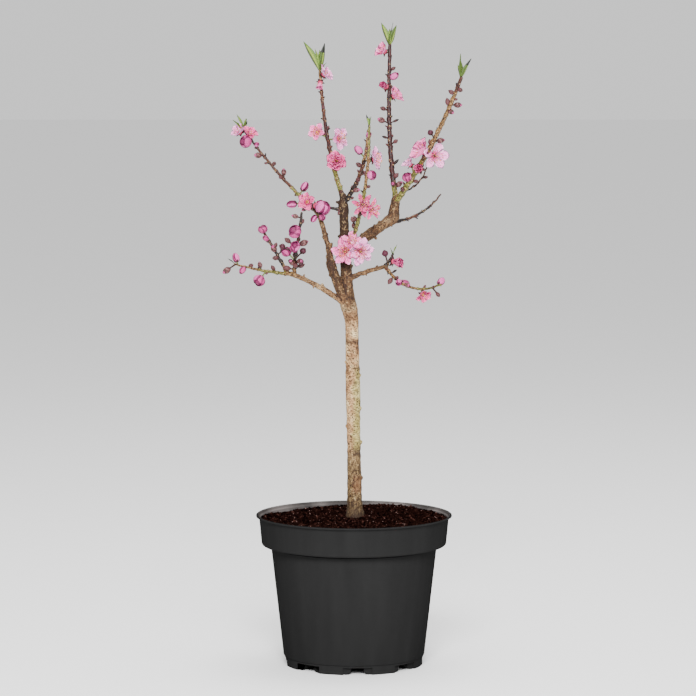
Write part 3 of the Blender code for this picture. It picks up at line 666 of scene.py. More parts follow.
def roughenBark(piece, curves):
    # plates, grain and pores follow the limb that each point lies nearest to
    mesh = piece.data
    spots = readPoints(mesh.vertices, "co") / mm
    normals = readPoints(mesh.vertex_normals, "vector")
    hollow = hollowness(mesh, spots, normals)
    centres, axes, ages, travels = [], [], [], []
    for name in oldWood + ("trunk_head",):
        travel = 0
        rings = frameRings(curves[name])
        first, last = limbAge[name]
        for index, (point, heading, side, across) in enumerate(rings):
            travel += (point - rings[max(index - 1, 0)][0]).length
            centres.append(tuple(point))
            axes.append((side, across))
            ages.append(first + (last - first) * index / (len(rings) - 1))
            travels.append(travel + 37 * len(name))
    centres = np.array(centres)
    nearest = np.concatenate([np.argmin(((part[:, None, :] - centres[None]) ** 2).sum(axis=2), axis=1)
                              for part in np.array_split(spots, 60)])
    relief, crack = np.empty(len(spots)), np.empty(len(spots))
    for index, (x, y, z) in enumerate(spots):
        ring = nearest[index]
        away = Vector(spots[index] - centres[ring])
        u, v = away.dot(axes[ring][0]), away.dot(axes[ring][1])
        rough = 1 + 0.15 * max(0, min(1, (bark["trunkLength"] - z) / 40)) + 0.5 * ages[ring]
        plates = noise.noise((u / 5, v / 5, z / 12 + 20))
        grain = noise.noise((u / 1.3, v / 1.3, z / 3.2 + travels[ring] / 40))
        pores = noise.noise((u / 3, v / 3, z / 0.8 + 50))
        fine = noise.noise((x / 1.1, y / 1.1, z / 1.5))
        relief[index] = (0.5 * plates + 0.16 * grain * rough + 0.3 * max(0, pores - 0.25)
                         + 0.13 * fine * rough)
        crack[index] = (0.52 + 0.22 * grain * min(rough, 1.5) + 0.36 * fine
                        + 0.3 * plates * (0.3 + ages[ring]))
    dents = np.exp(-((spots - np.array(scar["place"])) / np.array(scar["size"])) ** 2 @ np.ones(3))
    relief -= scar["depth"] * dents
    # points that lie deeper than the ground around them, as in the creases where limbs meet, are darkened as
    # painted shade
    crack -= 1.2 * dents + np.clip(hollow * 2.2, 0, 0.8)
    spots += normals * relief[:, None]
    spots[:, 2] = np.maximum(spots[:, 2], bark["foot"])
    mesh.vertices.foreach_set("co", (spots * mm).ravel())
    ageOfPoint = evened(mesh, np.array(ages)[nearest], 30)
    for name, values in (("crack", np.clip(crack, 0, 1)), ("age", ageOfPoint)):
        mesh.attributes.new(name, "FLOAT", "POINT").data.foreach_set("value", values.astype(np.float32))
    mesh.update()


def readPoints(items, name):
    values = np.empty(len(items) * 3)
    items.foreach_get(name, values)
    return values.reshape(-1, 3)


def evened(mesh, values, rounds):
    # each value drifts towards the mean of its neighbours
    pairs = np.empty(len(mesh.edges) * 2, dtype=int)
    mesh.edges.foreach_get("vertices", pairs)
    count = np.bincount(pairs, minlength=len(values))
    one, other = pairs[::2], pairs[1::2]
    for _ in range(rounds):
        total = np.bincount(one, values[other], len(values)) + np.bincount(other, values[one], len(values))
        values = 0.5 * values + 0.5 * total / np.maximum(count, 1)
    return values


def hollowness(mesh, spots, normals):
    # millimetres by which a point lies deeper than the ground around it
    ground = np.stack([evened(mesh, spots[:, axis], 60) for axis in range(3)], axis=1)
    return evened(mesh, ((ground - spots) * normals).sum(axis=1), 4)


def barkMaterial():
    # young peach bark: tan with dark pores and cracks, greenish on the stem, older and browner on the boughs
    material, shader = newMaterial("peachBark", "#B09A78", {"Roughness": 0.8, "Specular IOR Level": 0.25})
    add = partial(addNode, material)
    place = add("TexCoord", {}).outputs["Object"]
    parts = add("SeparateXYZ", {"Vector": place})
    stretched = add("Mapping", {"Scale": (1, 1, 0.35), "Vector": place})
    flat = add("Mapping", {"Scale": (1, 1, 2.6), "Vector": place})
    broad = add("TexNoise", {"Scale": 75, "Detail": 8, "Roughness": 0.68, "Vector": place})
    grain = add("TexNoise", {"Scale": 420, "Detail": 5, "Roughness": 0.7, "Vector": stretched})
    ragged = add("TexNoise", {"Scale": 90, "Detail": 5, "Roughness": 0.6, "Vector": place})
    dashes = add("TexNoise", {"Scale": 380, "Detail": 3, "Vector": flat})  # about 2 mm long
    specks = add("TexVoronoi", {"Scale": 330, "Vector": place})  # about half a millimetre
    fine = add("TexNoise", {"Scale": 900, "Detail": 4, "Vector": place})
    age = add("Attribute", {"attribute_name": "age"}).outputs["Fac"]
    crack = add("Attribute", {"attribute_name": "crack"}).outputs["Fac"]
    oldest = add("MapRange", {"From Min": 0.7, "From Max": 1.1, "To Max": 0.9, "Value": age})
    # the height, and how far to the right, with ragged edges
    height, level, across = (
        add("Math", {"operation": "MULTIPLY_ADD", 0: ragged, 1: raggedness, 2: parts.outputs[axis]})
        for raggedness, axis in ((0.03, "Z"), (0.008, "Z"), (0.016, "X")))
    right = add("MapRange", {"From Min": 0.0050, "From Max": 0.0095, "Value": across})
    # a ramp has 256 steps, so the narrow rings read the heights from 0.2 to 0.4 m, stretched to its length
    level = add("MapRange", {"From Min": 0.2, "From Max": 0.4, "Value": level})
    colour, ground, green, brown, broken = (
        add("ValToRGB", {"Fac": source, "stops": stops}) for source, stops in (
        (broad, [(0.32, "#4E331F"), (0.43, "#886443"), (0.53, "#AD8960"), (0.66, "#D6BF92")]),
        (grain, [(0.34, "#2E2114"), (0.45, "#5F4A30"), (0.56, "#846B48"), (0.7, "#C2AC84")]),
        (broad, [(0.32, "#6B6130"), (0.5, "#978B50"), (0.68, "#C3B880")]),
        (grain, [(0.36, "#160C06"), (0.47, "#332012"), (0.57, "#563A22"), (0.7, "#8A6844")]),
        (grain, [(0.44, 1.0), (0.6, 0.55)])))
    # each layer covers the ones before it: what its share is read from, the share's stops, what else limits
    # the share, and its colour
    for source, stops, limit, cover in (
            # the green stretch on the right between 0.253 and 0.35 m, and the bare ground colour below it
            (height, [(0.264, 0.0), (0.271, 0.85), (0.355, 0.8), (0.372, 0.0)], right, green),
            (height, [(0.258, 1.0), (0.275, 0.0)], None, ground),
            # weathered brown and the darkest old wood
            (age, [(0.08, 0.0), (0.5, 0.8), (0.8, 1.0)], None, brown),
            (oldest, None, None, "#21130A"),
            # cracks are dark and hollows are darkened as painted shade, ridges are worn pale
            (crack, [(0.14, 0.92), (0.32, 0.6), (0.44, 0.0)], None, "#2B1A12"),
            (crack, [(0.62, 0.0), (0.85, 0.35)], None, "#C8A878"),
            # brown rings where growth stopped, at 0.380 and 0.350 m, a dark patch and a reddish one
            (level, [(0.900, 0.0), (0.911, 0.95), (0.924, 0.9), (0.940, 0.0)], broken, "#3A2315"),
            (level, [(0.243, 0.0), (0.254, 0.92), (0.276, 0.8), (0.305, 0.0), (0.758, 0.0), (0.766, 0.92),
                     (0.780, 0.0)], right, "#35261A"),
            (level, [(0.015, 0.0), (0.05, 0.4), (0.11, 0.4), (0.15, 0.0)], right, "#6E3E2A"),
            # the foot is splashed with wet compost
            (height, [(0.187, 0.98), (0.194, 0.88), (0.205, 0.4), (0.220, 0.0)], None, "#22140D"),
            # pores
            (dashes, [(0.39, 0.97), (0.46, 0.0)], None, "#2E1C12"),
            (specks, [(0.17, 0.97), (0.28, 0.0)], None, "#22150F")):
        share = add("ValToRGB", {"Fac": source, "stops": stops}) if stops else source
        if limit is not None:
            share = add("Math", {"operation": "MULTIPLY", 0: share, 1: limit})
        colour = add("Mix", {"data_type": "RGBA", 0: share, 6: colour, 7: cover}).outputs[2]
    relief = add("Bump", {"Strength": 0.6, "Distance": 0.0004, "Height": fine})
    setUp(material, shader, {"Base Color": colour, "Normal": relief})
    return material


# young shoots

twig = {"sides": 16, "parts": 20, "stride": 17, "nodeSpacing": 12, "flare": 0.9, "nodeSwell": 0.6,
        "pores": 0.03}
twigTones = {"redBrownTwig": "#2A130C", "redBrownTwigLit": "#4C2818", "greenTwig": "#454218",
             "greenTwigLit": "#6E6C30", "tanTwig": "#402C14", "tanTwigLit": "#7C5C34", "plumTwig": "#1E0A0A",
             "plumTwigLit": "#3A1716", "darkTwig": "#120907", "darkTwigLit": "#241711", "twigPore": "#AC8C60"}
shootTones = {
    # the tone that a shoot has from this share of its length
    "shoot_far_left": ((0, "redBrown"), (0.1, "green"), (0.34, "redBrown"), (0.8, "plum")),
    "shoot_tall_left": ((0, "redBrown"), (0.06, "green"), (0.28, "redBrown"), (0.45, "plum"),
        (0.6, "redBrown"), (0.85, "tan")),
    "shoot_middle_short": ((0, "dark"), (0.3, "redBrown"), (0.6, "tan")),
    "shoot_middle_front": ((0, "green"), (0.55, "tan"), (0.8, "green")),
    "shoot_tall_right": ((0, "green"), (0.1, "dark"), (0.16, "plum")),
    "shoot_far_right": ((0, "green"), (0.34, "tan"), (0.9, "redBrown")),
    "shoot_thin_right": ((0, "dark"), (0.3, "redBrown")),
    "twig_right_back": ((0, "dark"), (0.3, "redBrown"), (0.5, "dark"), (0.7, "redBrown")),
    "shoot_low_left": ((0, "tan"), (0.1, "green"), (0.6, "tan")),
    "shoot_low_left_rising": ((0, "tan"), (0.2, "dark"), (0.5, "redBrown")),
    "spur_low_left": ((0, "tan"), (0.15, "dark"), (0.5, "redBrown"), (0.75, "dark")),
    "shoot_low_right": ((0, "tan"), (0.22, "green"), (0.4, "tan"), (0.6, "green")),
    "spur_low_right": ((0, "dark"),),
    "spur_leader": ((0, "dark"),),
    "spur_fork": ((0, "redBrown"), (0.5, "green")),
}


def modelShoots(curves):
    pile = Pile("youngShoots", plainMaterials(twigTones, 0.5))
    dice = random.Random(3)
    for name in shoots:
        line, length, nodes = curves[name], limbs[name].length, shootNodes(name)
        radii = []
        for index in range(len(line)):
            distance = index / (len(line) - 1) * length
            radius = radiusAlong(name, distance, length) + twig["flare"] * exp(-(distance / 5) ** 2)
            radius += sum(twig["nodeSwell"] * exp(-((distance - node * length) / 1.3) ** 2)
                          for node in nodes)
            radii.append(radius)
        points, faces = tube(line, radii, twig["sides"])
        pile.add(points, faces, twigFaceTones(name, points, faces, len(line), dice))
    dressShoots(pile.build())


def shootNodes(name):
    count = max(2, int(limbs[name].length * 0.92 / twig["nodeSpacing"]))
    dice = random.Random(name)
    return [0.08 + 0.9 * (node + dice.uniform(-0.25, 0.25)) / count for node in range(count)]


def twigFaceTones(name, points, faces, rings, dice):
    order = ("redBrown", "green", "tan", "plum", "dark")
    tones = []
    for index, face in enumerate(faces):
        along = min(index // twig["sides"] / rings, 1)
        middle = points[face[0]]
        shift = 0.07 * noise.noise(middle / 6)
        tone = [kind for start, kind in shootTones[name] if along + shift >= start or start == 0][-1]
        patch = noise.noise(middle / 4) + 0.5 * noise.noise(middle / 1.3)
        if tone == "green" and patch > 0.3:
            tone = "tan"
        elif tone in ("green", "tan") and patch < -0.55:
            tone = "dark"
        elif tone == "tan" and patch > 0.4:
            tone = "redBrown"
        elif tone == "redBrown" and patch > 0.5:
            tone = "plum"
        lit = noise.noise((middle.x / 1.1, middle.y / 1.1, middle.z / 3)) > 0.02
        pore = dice.random() < twig["pores"]
        tones.append(list(twigTones).index("twigPore") if pore else 2 * order.index(tone) + lit)
    return tones


# buds: width and length, and where petals show, how far the sepals reach up and how open it is

budKinds = {"pink": (7.4, 11.2, 0.5, 0.1), "ball": (13.2, 13.2, 0.3, 1.0), "globe": (17, 17.5, 0.62, 0.3),
            "mauve": (5.6, 8.6), "brown": (4.8, 7.6), "plum": (7.4, 7.8), "leaf": (2.2, 5.4)}
budTones = {"rosePetalBud": "#A83A74", "rosePetalBudPale": "#BC5490", "mauveScale": "#4F2A2C",
            "brownScale": "#2C1411", "maroonSepal": "#340E16", "darkScale": "#190C0A",
            "greenSepal": "#5A6030", "rosePetalBudDeepAndShade": "#6C1C46", "downyScale": "#6E4A48",
            "plumScale": "#421224"}
rose, roseLight, mauve, brown, maroon, dark, green, roseDeepAndShade, downy, plum = range(len(budTones))
wrapOutline = ((0, 0.35), (0.2, 0.75), (0.45, 1.0), (0.7, 0.96), (0.88, 0.75), (1, 0.4))
sepalOutline = ((0, 0.9), (0.3, 1.0), (0.6, 0.7), (0.85, 0.3), (1, 0.05))


def scalyBud(width, length, kind, dice):
    # scales in five rows, each with a dark edge; a mauve bud shows a pink tip
    points, faces = ovoid(width, length, 12, 11, 0.65)
    first = dice.uniform(0, tau)

    def rowOf(point):
        high = point.z / (length / 2)
        return high, (2.4 * (high + 1) + 0.35 * cos(3 * atan2(point.y, point.x) + first)) % 1
    shaped = []
    for point in points:
        high, row = rowOf(point)
        reach = 1 + 0.12 * (row - 0.5) * (1 - abs(high))
        shaped.append(Vector((point.x * reach, point.y * reach, point.z)))
    tones = []
    for face in faces:
        high, row = rowOf(sum((points[corner] for corner in face), Vector()) / len(face))
        if kind == "mauve" and high > 0.7:
            tones.append(rose if row < 0.6 else roseDeepAndShade)
        elif row > 0.8 or high < -0.85:
            tones.append(brown)
        else:
            tones.append(plum if kind == "plum" else downy if row < 0.25 and kind == "mauve" else mauve)
    return shaped, faces, tones


def leafBud(width, length, dice):
    points, faces = ovoid(width, length, 6, 6, 0.6)
    tones = [dice.choice((brown, dark, dark, brown, mauve)) if sum(points[c].z for c in face) < 0 else dark
             for face in faces]
    return points, faces, tones


def capPatch(size, turn, reach, levels, lift, outline, steps, thickness, toneOf, dice):
    # a thin closed patch of an egg shape, from one height to another, reach degrees wide on either side
    (width, length), (foot, top), (acrossSteps, alongSteps) = size, levels, steps
    waver = dice.uniform(0, tau)
    skins = []
    for skin in (thickness, 0.0):
        rows = []
        for step in range(alongSteps + 1):
            s = step / alongSteps
            half = np.interp(s, *zip(*outline))
            for column in range(acrossSteps + 1):
                t = 2 * column / acrossSteps - 1
                level = radians(foot + (top - foot) * (s - 0.07 * t * t * s ** 3))
                lon = turn + radians(reach) * half * t
                flare = 1 + lift * s * s + 0.02 * sin(5 * t + waver) * s
                out = cos(level) * (width / 2) * (1 - 0.3 * max(sin(level), 0) ** 2) * flare + skin
                rows.append(Vector((out * cos(lon), out * sin(lon),
                                    sin(level) * length / 2 + skin * max(0, sin(level)))))
        skins.append(rows)
    return closedSheet(*skins, acrossSteps + 1, toneOf)


def closedSheet(top, under, row, toneOf, rim=None):
    # a thin closed sheet whose points run row by row, each face with the tone of its step and column
    count = len(top)
    steps = count // row - 1
    faces, tones = [], []
    for step in range(steps):
        for column in range(row - 1):
            corners = (step * row + column, (step + 1) * row + column, (step + 1) * row + column + 1,
                       step * row + column + 1)
            faces += [corners, tuple(count + corner for corner in reversed(corners))]
            tones += [toneOf(step, column, False), toneOf(step, column, True)]
    border = (list(range(row)) + [step * row + row - 1 for step in range(1, steps + 1)]
              + [steps * row + column for column in reversed(range(row - 1))]
              + [step * row for step in reversed(range(1, steps))])
    for corner, after in zip(border, border[1:] + border[:1]):
        faces.append((corner, after, count + after, count + corner))
        tones.append(toneOf(min(corner // row, steps - 1), 0, False) if rim is None else rim)
    return top + under, faces, tones


def addWrappedBud(pile, width, length, place, sepalShare, openness, dice):
    # petals lie one over the next round a closed core, and five sepals clasp the foot; the petals' edges are
    # painted deep rose as shade where they overlap
    pile.add(*ovoid(width * 0.86, length * 0.92, 10, 8, 0.45), roseDeepAndShade, place)
    first = dice.uniform(0, tau)
    for index in range(5 if width > 9 else 4):
        turn = first + tau * index * 0.42
        top = dice.uniform(62, 84) - 22 * openness
        reach = dice.uniform(62, 78)

        def petalTone(step, column, inside):
            # each petal's edges are painted deep as shade between the overlapping petals
            if step == 0 or step >= 7 or column in (0, 5):
                return roseDeepAndShade
            return roseLight if index % 2 else rose
        pile.add(*capPatch((width * (0.92 + 0.035 * index), length), turn, reach, (-78, top), 0.1 * openness,
                           wrapOutline, (6, 8), 0.3, petalTone, dice), place)
    levels = (-88, -88 + 118 * sepalShare)
    for index in range(5):
        pile.add(*capPatch((width * 1.06, length), first + tau * index / 5, 38, levels, 0.03, sepalOutline,
                           (4, 5), 0.35, sepalTone, dice), place)


def sepalTone(step, column, inside):
    return green if step == 0 else brown if step > 2 else maroon


def addBud(pile, kind, foot, direction, reach, scale, dice):
    head = foot + direction * reach
    place = aim(head, direction, dice.uniform(0, 6))
    width, length, *petals = budKinds[kind]
    if petals:
        addWrappedBud(pile, width * scale, length * scale, place, *petals, dice)
        addStalk(pile, foot, head - direction * length * scale * 0.4, 1.0, green)
    elif kind == "leaf":
        pile.add(*leafBud(width * scale, length * scale, dice), place)
        addStalk(pile, foot, head - direction * 1.9 * scale, 0.8, brown)
    else:
        pile.add(*scalyBud(width * scale, length * scale, kind, dice), place)
        addStalk(pile, foot, head - direction * length * scale * 0.35, 1.0, brown)


def addStalk(pile, foot, head, radius, tone):
    if (head - foot).length >= 0.8:
        line = [foot.lerp(head, step / 3) for step in range(4)]
        pile.add(*tube(line, [radius * 1.3, radius, radius * 0.9, radius * 1.2], 7, False), tone)


# blossom: each palette has its throat, petal, edge, vein and rim

palettes = {"pale": ("#B02E6C", "#E692C6", "#EFB4DA", "#BE5C98", "#8A6080"),
            "pink": ("#9C184E", "#E56EA8", "#F098C4", "#B53A7A", "#883A62"),
            "deep": ("#8C1040", "#D95890", "#E87EAC", "#A82C68", "#7A264C"),
            "rose": ("#6C0E34", "#BE4076", "#D46496", "#8C2452", "#5C1838")}
petalZones = ("Throat", "Petal", "PetalEdge", "Vein", "Rim")
throat, blade, edge, vein, rim = range(5)
stamenTones = {"roseFilament": "#E77BA2", "paleFilament": "#F3C3D4", "goldenAnther": "#D08A22",
               "rustyAnther": "#9A4A1C", "orangeAnther": "#D9702A", "greenStyle": "#A9A84E",
               "nectarCup": "#C9843C", "nectarRim": "#A8324F"}
petalOutline = ((0, 0.2), (0.1, 0.26), (0.25, 0.56), (0.42, 0.86), (0.6, 1.0), (0.76, 0.95), (0.9, 0.72),
                (1, 0.34))
# whorls of petals: how many, length, width share, opening from the axis in degrees, how hollow, how far the
# tip bends inwards; then how many stamens and their length
flowerKinds = {
    "flower": (((5, 15.4, 0.76, 72, 0.32, 0.05),), 22, 8.5),
    "double": (((6, 17, 0.56, 80, 0.3, -0.03), (5, 14.5, 0.52, 62, 0.35, 0.08)), 34, 8),
    "star": (((6, 13.5, 0.4, 78, 0.5, 0.0), (5, 11.5, 0.38, 55, 0.5, 0.05)), 22, 9),
    "rosette": (((6, 12.6, 0.98, 74, 0.4, 0.16), (5, 10.5, 0.95, 52, 0.5, 0.22),
                 (4, 7.5, 0.9, 30, 0.5, 0.3)), 12, 6),
    "cup": (((5, 14, 0.82, 56, 0.42, 0.06),), 8, 7.5),
    "halfOpen": (((5, 11.5, 0.78, 34, 0.55, 0.3), (4, 10, 0.75, 18, 0.6, 0.35)), 4, 7),
}


def petal(length, width, hollow, bend, dice):
    # a thin closed petal along +X: narrow claw, broad blade, waved edge
    alongSteps, acrossSteps = 10, 9
    wave = dice.uniform(0, tau)
    ripple = dice.uniform(0.01, 0.035)
    notch = dice.uniform(0.0, 0.07)
    top = []
    for step in range(alongSteps + 1):
        s = step / alongSteps
        half = np.interp(s, *zip(*petalOutline))
        for column in range(acrossSteps + 1):
            t = 2 * column / acrossSteps - 1
            x = length * (s - 0.1 * t * t * s ** 3 - notch * exp(-(t / 0.28) ** 2) * s ** 6)
            z = length * (hollow * 0.5 * (half * t * width / length) ** 2 * 2 + bend * s * s * 0.5 - 0.02 * s)
            z += length * ripple * sin(4 * t + 6 * s + wave) * s
            top.append(Vector((x, width / 2 * half * t, z)))

    def toneOf(step, column, under):
        veined = column in (2, 6) and 3 <= step < 7 or column == 4 and 2 <= step < 8
        skin = blade
        if column in (0, acrossSteps - 1) or step == alongSteps - 1:
            skin = rim if sin(wave + 0.9 * step + 2 * (column > 4)) > -0.2 else edge
        if step < (1 if under else 2):
            return throat
        if veined and dice.random() < (0.3 if under else 0.6) or step == 2 and not under:
            return vein
        return skin
    return closedSheet(top, [point + Vector((0, 0, -0.28)) for point in top], acrossSteps + 1, toneOf, rim)


def addFlower(piles, kind, foot, direction, reach, palette, facing, scale, dice):
    whorls, stamenCount, stamenLength = flowerKinds[kind]
    cup = foot + direction * reach - facing * 3.2 * scale
    base = len(petalZones) * list(palettes).index(palette)
    for whorl, (count, length, share, opening, hollow, bend) in enumerate(whorls):
        first = dice.uniform(0, tau)
        for index in range(count):
            turn = first + tau * (index + dice.uniform(-0.12, 0.12)) / count
            lift = radians(90 - opening + dice.uniform(-9, 9))
            size = length * scale * dice.uniform(0.9, 1.06)
            points, faces, tones = petal(size, size * share * dice.uniform(0.92, 1.08), hollow, bend, dice)
            place = aim(cup, facing) @ seat(turn, (0.9 * scale, 0, 0.5 * whorl), -lift)
            twist = Matrix.Rotation(dice.uniform(-0.25, 0.25), 4, "X")
            piles["petals"].add(points, faces, [base + tone for tone in tones], place @ twist)
    addStamens(piles["stamens"], aim(cup, facing), stamenCount, stamenLength * scale, dice)
    addCalyx(piles["buds"], foot, cup, facing, scale, dice)


def seat(turn, place, tilt):
    # a petal's or a sepal's place on the rim of the cup, turned round it and tilted out of it
    return Matrix.Rotation(turn, 4, "Z") @ Matrix.Translation(place) @ Matrix.Rotation(tilt, 4, "Y")


def addStamens(pile, place, count, length, dice):
    for index in range(count):
        turn = tau * index * 0.381966  # the golden angle
        spread = radians(8 + 42 * sqrt((index + 0.5) / count)) + dice.uniform(-0.1, 0.1)
        across = sin(spread)
        lean = Vector((across * cos(turn), across * sin(turn), cos(spread)))
        size = length * dice.uniform(0.75, 1.08)
        start = Vector((lean.x * 1.5, lean.y * 1.5, 0.3))
        bow = Vector((lean.x, lean.y, 0)) * size * 0.12
        line = [start, start + lean * size * 0.5 + bow, start + lean * size]
        pile.add(*tube(line, [0.26, 0.2, 0.16], 3, False), 0 if index % 3 else 1, place)
        pile.add(*ovoid(1.2, 1.6, 5, 3, 0), dice.choice((2, 2, 3, 4)), place @ aim(line[-1], lean))
    # the hollow cup in the middle, orange within a red rim, and the style
    points, faces = ovoid(6.4, 2.6, 12, 6, 0)
    pile.add(points, faces, [6 if sum(points[c].xy.length for c in face) / len(face) < 1.9 else 7
                             for face in faces], place)
    style = [Vector((0, 0, 0.3)), Vector((0.3, 0.2, length * 0.95))]
    pile.add(*tube(style, [0.35, 0.25], 4, False), 5, place)


def addCalyx(pile, foot, cup, facing, scale, dice):
    # a small urn with five sepals under the petals, on a short stalk
    points, faces = ovoid(5.2 * scale, 5.5 * scale, 10, 8, 0.0)
    pile.add(points, faces, [green if sum(points[c].z for c in face) < -4 else maroon for face in faces],
             aim(cup - facing * 1.2 * scale, facing))
    first = dice.uniform(0, tau)
    length = 5.2 * scale
    outline = ((0, 0.5), (0.35, 0.62), (0.7, 0.42), (1, 0.06))
    top = [Vector((s * length, side * width * length * 0.6, -0.18 * length * s * s)) for s, width in outline
           for side in (-1, 0, 1)]
    under = [point + Vector((0, 0, -0.35)) for point in top]
    for index in range(5):
        place = seat(first + tau * index / 5, (1.7 * scale, 0, -0.3), radians(dice.uniform(-8, 14)))
        pile.add(*closedSheet(top, under, 3, lambda step, column, inside: maroon if step else brown),
                 aim(cup, facing) @ place)
    addStalk(pile, foot, cup - facing * 2.5 * scale, 1.05, green)


# what each shoot carries: kind, share of its length, azimuth, lift, reach; then a flower's palette,
# facing and scale, or a bud's scale
carries = {
    "shoot_far_left": (("cup", 0.92, -90, 50, 7, "deep", -60, 45, 0.78),
        ("cup", 1.0, -150, -10, 7, "pale", -140, 45, 0.85), ("ball", 0.88, -150, 0, 9, 1.08),
        ("pink", 0.84, -60, 10, 5, 0.7), ("mauve", 0.72, -145, 5, 8, 1.25),
        ("mauve", 0.44, -105, 85, 9, 1.1), ("pink", 0.24, 25, 55, 12, 1.15),
        ("pink", 0.14, -175, -5, 18, 1.15), ("cup", 0.1, -130, 40, 8, "deep", -105, 20, 0.95),
        ("halfOpen", 0.06, -60, 25, 10, "rose", -40, 10, 0.9), ("brown", 0.6, 60, 30, 5),
        ("mauve", 0.1, -170, -30, 8, 0.9), ("globe", 0.0, -40, 40, 10), ("pink", 0.0, -140, -45, 9, 0.9),
        ("pink", 0.0, -70, -15, 16, 0.95)),
    "shoot_tall_left": (("cup", 0.96, -20, 20, 7, "pale", -22, 32, 0.95),
        ("halfOpen", 0.9, -95, 0, 6, "pink", -100, -50, 0.8),
        ("flower", 0.5, -155, 25, 15, "pink", -110, 12, 0.74),
        ("flower", 0.48, 10, 5, 15, "pale", -42, 8, 1.0),
        ("rosette", 0.28, -60, 30, 9, "deep", -88, 12, 1.0)),
    "shoot_middle_short": (("pink", 0.66, -165, 50, 12, 1.1), ("pink", 0.92, -65, 40, 4, 0.8),
        ("brown", 0.54, -150, 30, 6, 1.2), ("brown", 0.36, -85, 10, 5, 1.2),
        ("mauve", 0.22, -30, 5, 5, 1.1), ("mauve", 0.44, 60, 20, 6, 1.1)),
    "shoot_middle_front": (("flower", 0.72, 25, 30, 12, "pale", -15, 10, 1.05),
        ("ball", 0.64, -30, 5, 7, 0.8), ("star", 0.42, -90, 5, 8, "rose", -90, 8, 1.05),
        ("star", 0.37, -40, 10, 18, "deep", -50, 5, 0.98), ("mauve", 0.24, 120, 50, 12),
        ("mauve", 0.22, 115, 50, 7)),
    "shoot_tall_right": (("cup", 0.96, -165, 5, 8, "pink", -150, 30, 0.88),
        ("pink", 0.78, -35, 30, 9, 1.1), ("halfOpen", 0.72, -135, 30, 8, "rose", -120, 20, 0.95),
        ("cup", 0.64, -35, 40, 12, "pink", -20, 30, 0.92), ("brown", 0.58, -150, 20, 9, 1.1),
        ("mauve", 0.5, -150, 20, 12, 1.25), ("leaf", 0.5, 25, 20, 9, 1.6), ("leaf", 0.4, 155, 15, 7, 1.5),
        ("brown", 0.36, -35, 30, 9), ("leaf", 0.22, -5, 45, 7, 1.8), ("brown", 0.14, -25, 40, 5, 1.2),
        ("mauve", 0.08, -10, 35, 7, 1.2), ("mauve", 0.1, -100, 10, 5, 1.1)),
    "shoot_far_right": (("cup", 0.44, 175, 5, 8, "pink", -165, 33, 1.3),
        ("flower", 0.4, -20, 0, 12, "pale", -70, 0, 1.12),
        ("halfOpen", 0.3, -80, 0, 8, "deep", -110, 10, 0.95),
        ("cup", 0.24, 150, 65, 14, "pale", -160, 45, 0.8), ("ball", 0.18, -135, 60, 7, 0.85),
        ("plum", 0.54, 150, 50, 9, 0.95), ("mauve", 0.52, 5, 5, 9, 1.15), ("mauve", 0.8, -20, 0, 9, 1.2),
        ("brown", 0.78, 155, 75, 7, 1.3), ("brown", 0.92, -45, -15, 5, 1.1),
        ("mauve", 0.76, -45, -20, 5, 1.1), ("brown", 0.88, 170, 30, 5, 1.1),
        ("brown", 0.1, -100, 30, 6, 1.2)),
    "shoot_low_left": (("pink", 0.94, 130, 65, 9, 1.05), ("mauve", 0.98, -150, -30, 14, 1.35),
        ("pink", 0.82, -145, -50, 5, 0.9), ("mauve", 0.54, 125, 65, 7), ("brown", 0.28, 170, 55, 7),
        ("ball", 0.46, -130, -40, 16, 0.98), ("brown", 0.76, 60, 20, 5, 1.1)),
    "shoot_low_left_rising": (("ball", 0.92, -135, 65, 6, 0.78), ("pink", 0.76, -135, 25, 5, 0.8),
        ("mauve", 0.74, 110, 0, 4), ("mauve", 0.5, -115, 45, 5, 1.3), ("brown", 0.36, -150, 0, 4, 1.2),
        ("plum", 0.42, 0, 40, 8, 0.8)),
    "spur_low_left": (("ball", 0.68, -135, 30, 7, 1.1), ("mauve", 0.92, -165, 15, 8),
        ("pink", 0.42, -130, 30, 5, 1.1), ("ball", 0.26, -175, 45, 14, 0.85),
        ("ball", 0.46, -100, 20, 8, 0.8), ("plum", 0.28, 30, 40, 14, 1.05),
        ("mauve", 0.5, 20, 20, 9, 1.35), ("plum", 0.2, -35, 15, 9, 1.0),
        ("brown", 0.46, -165, 40, 14, 1.2), ("plum", 0.38, -170, 25, 18, 1.0),
        ("mauve", 0.24, -60, 5, 12, 1.15), ("brown", 0.14, -80, 20, 8, 1.3),
        ("brown", 0.1, -170, 10, 9, 1.3), ("mauve", 0.16, -120, 35, 8, 1.2),
        ("brown", 0.12, 10, 20, 9, 1.2), ("mauve", 0.3, 90, 20, 8, 1.2), ("brown", 0.2, 130, 15, 8, 1.2)),
    "shoot_low_right": (("brown", 0.18, -145, -50, 7, 1.2), ("pink", 0.3, -95, -10, 6),
        ("pink", 0.32, 25, -10, 6), ("cup", 0.68, -50, -60, 8, "deep", -65, -35, 0.8),
        ("brown", 0.86, -45, -40, 12), ("pink", 0.96, 50, 40, 6, 1.05), ("leaf", 0.12, -30, 30, 6, 1.4),
        ("mauve", 0.4, -60, 0, 6, 1.1)),
    "spur_low_right": (("halfOpen", 0.4, -10, 0, 8, "rose", -35, -5, 1.1),
        ("plum", 0.28, 180, 75, 12, 1.05)),
    "spur_fork": (("double", 0.85, -125, 5, 10, "pink", -98, 0, 1.0),
        ("double", 0.95, -20, 0, 14, "pale", -78, -8, 1.02),
        ("flower", 0.9, -70, 58, 15, "pink", -75, 40, 0.9)),
}


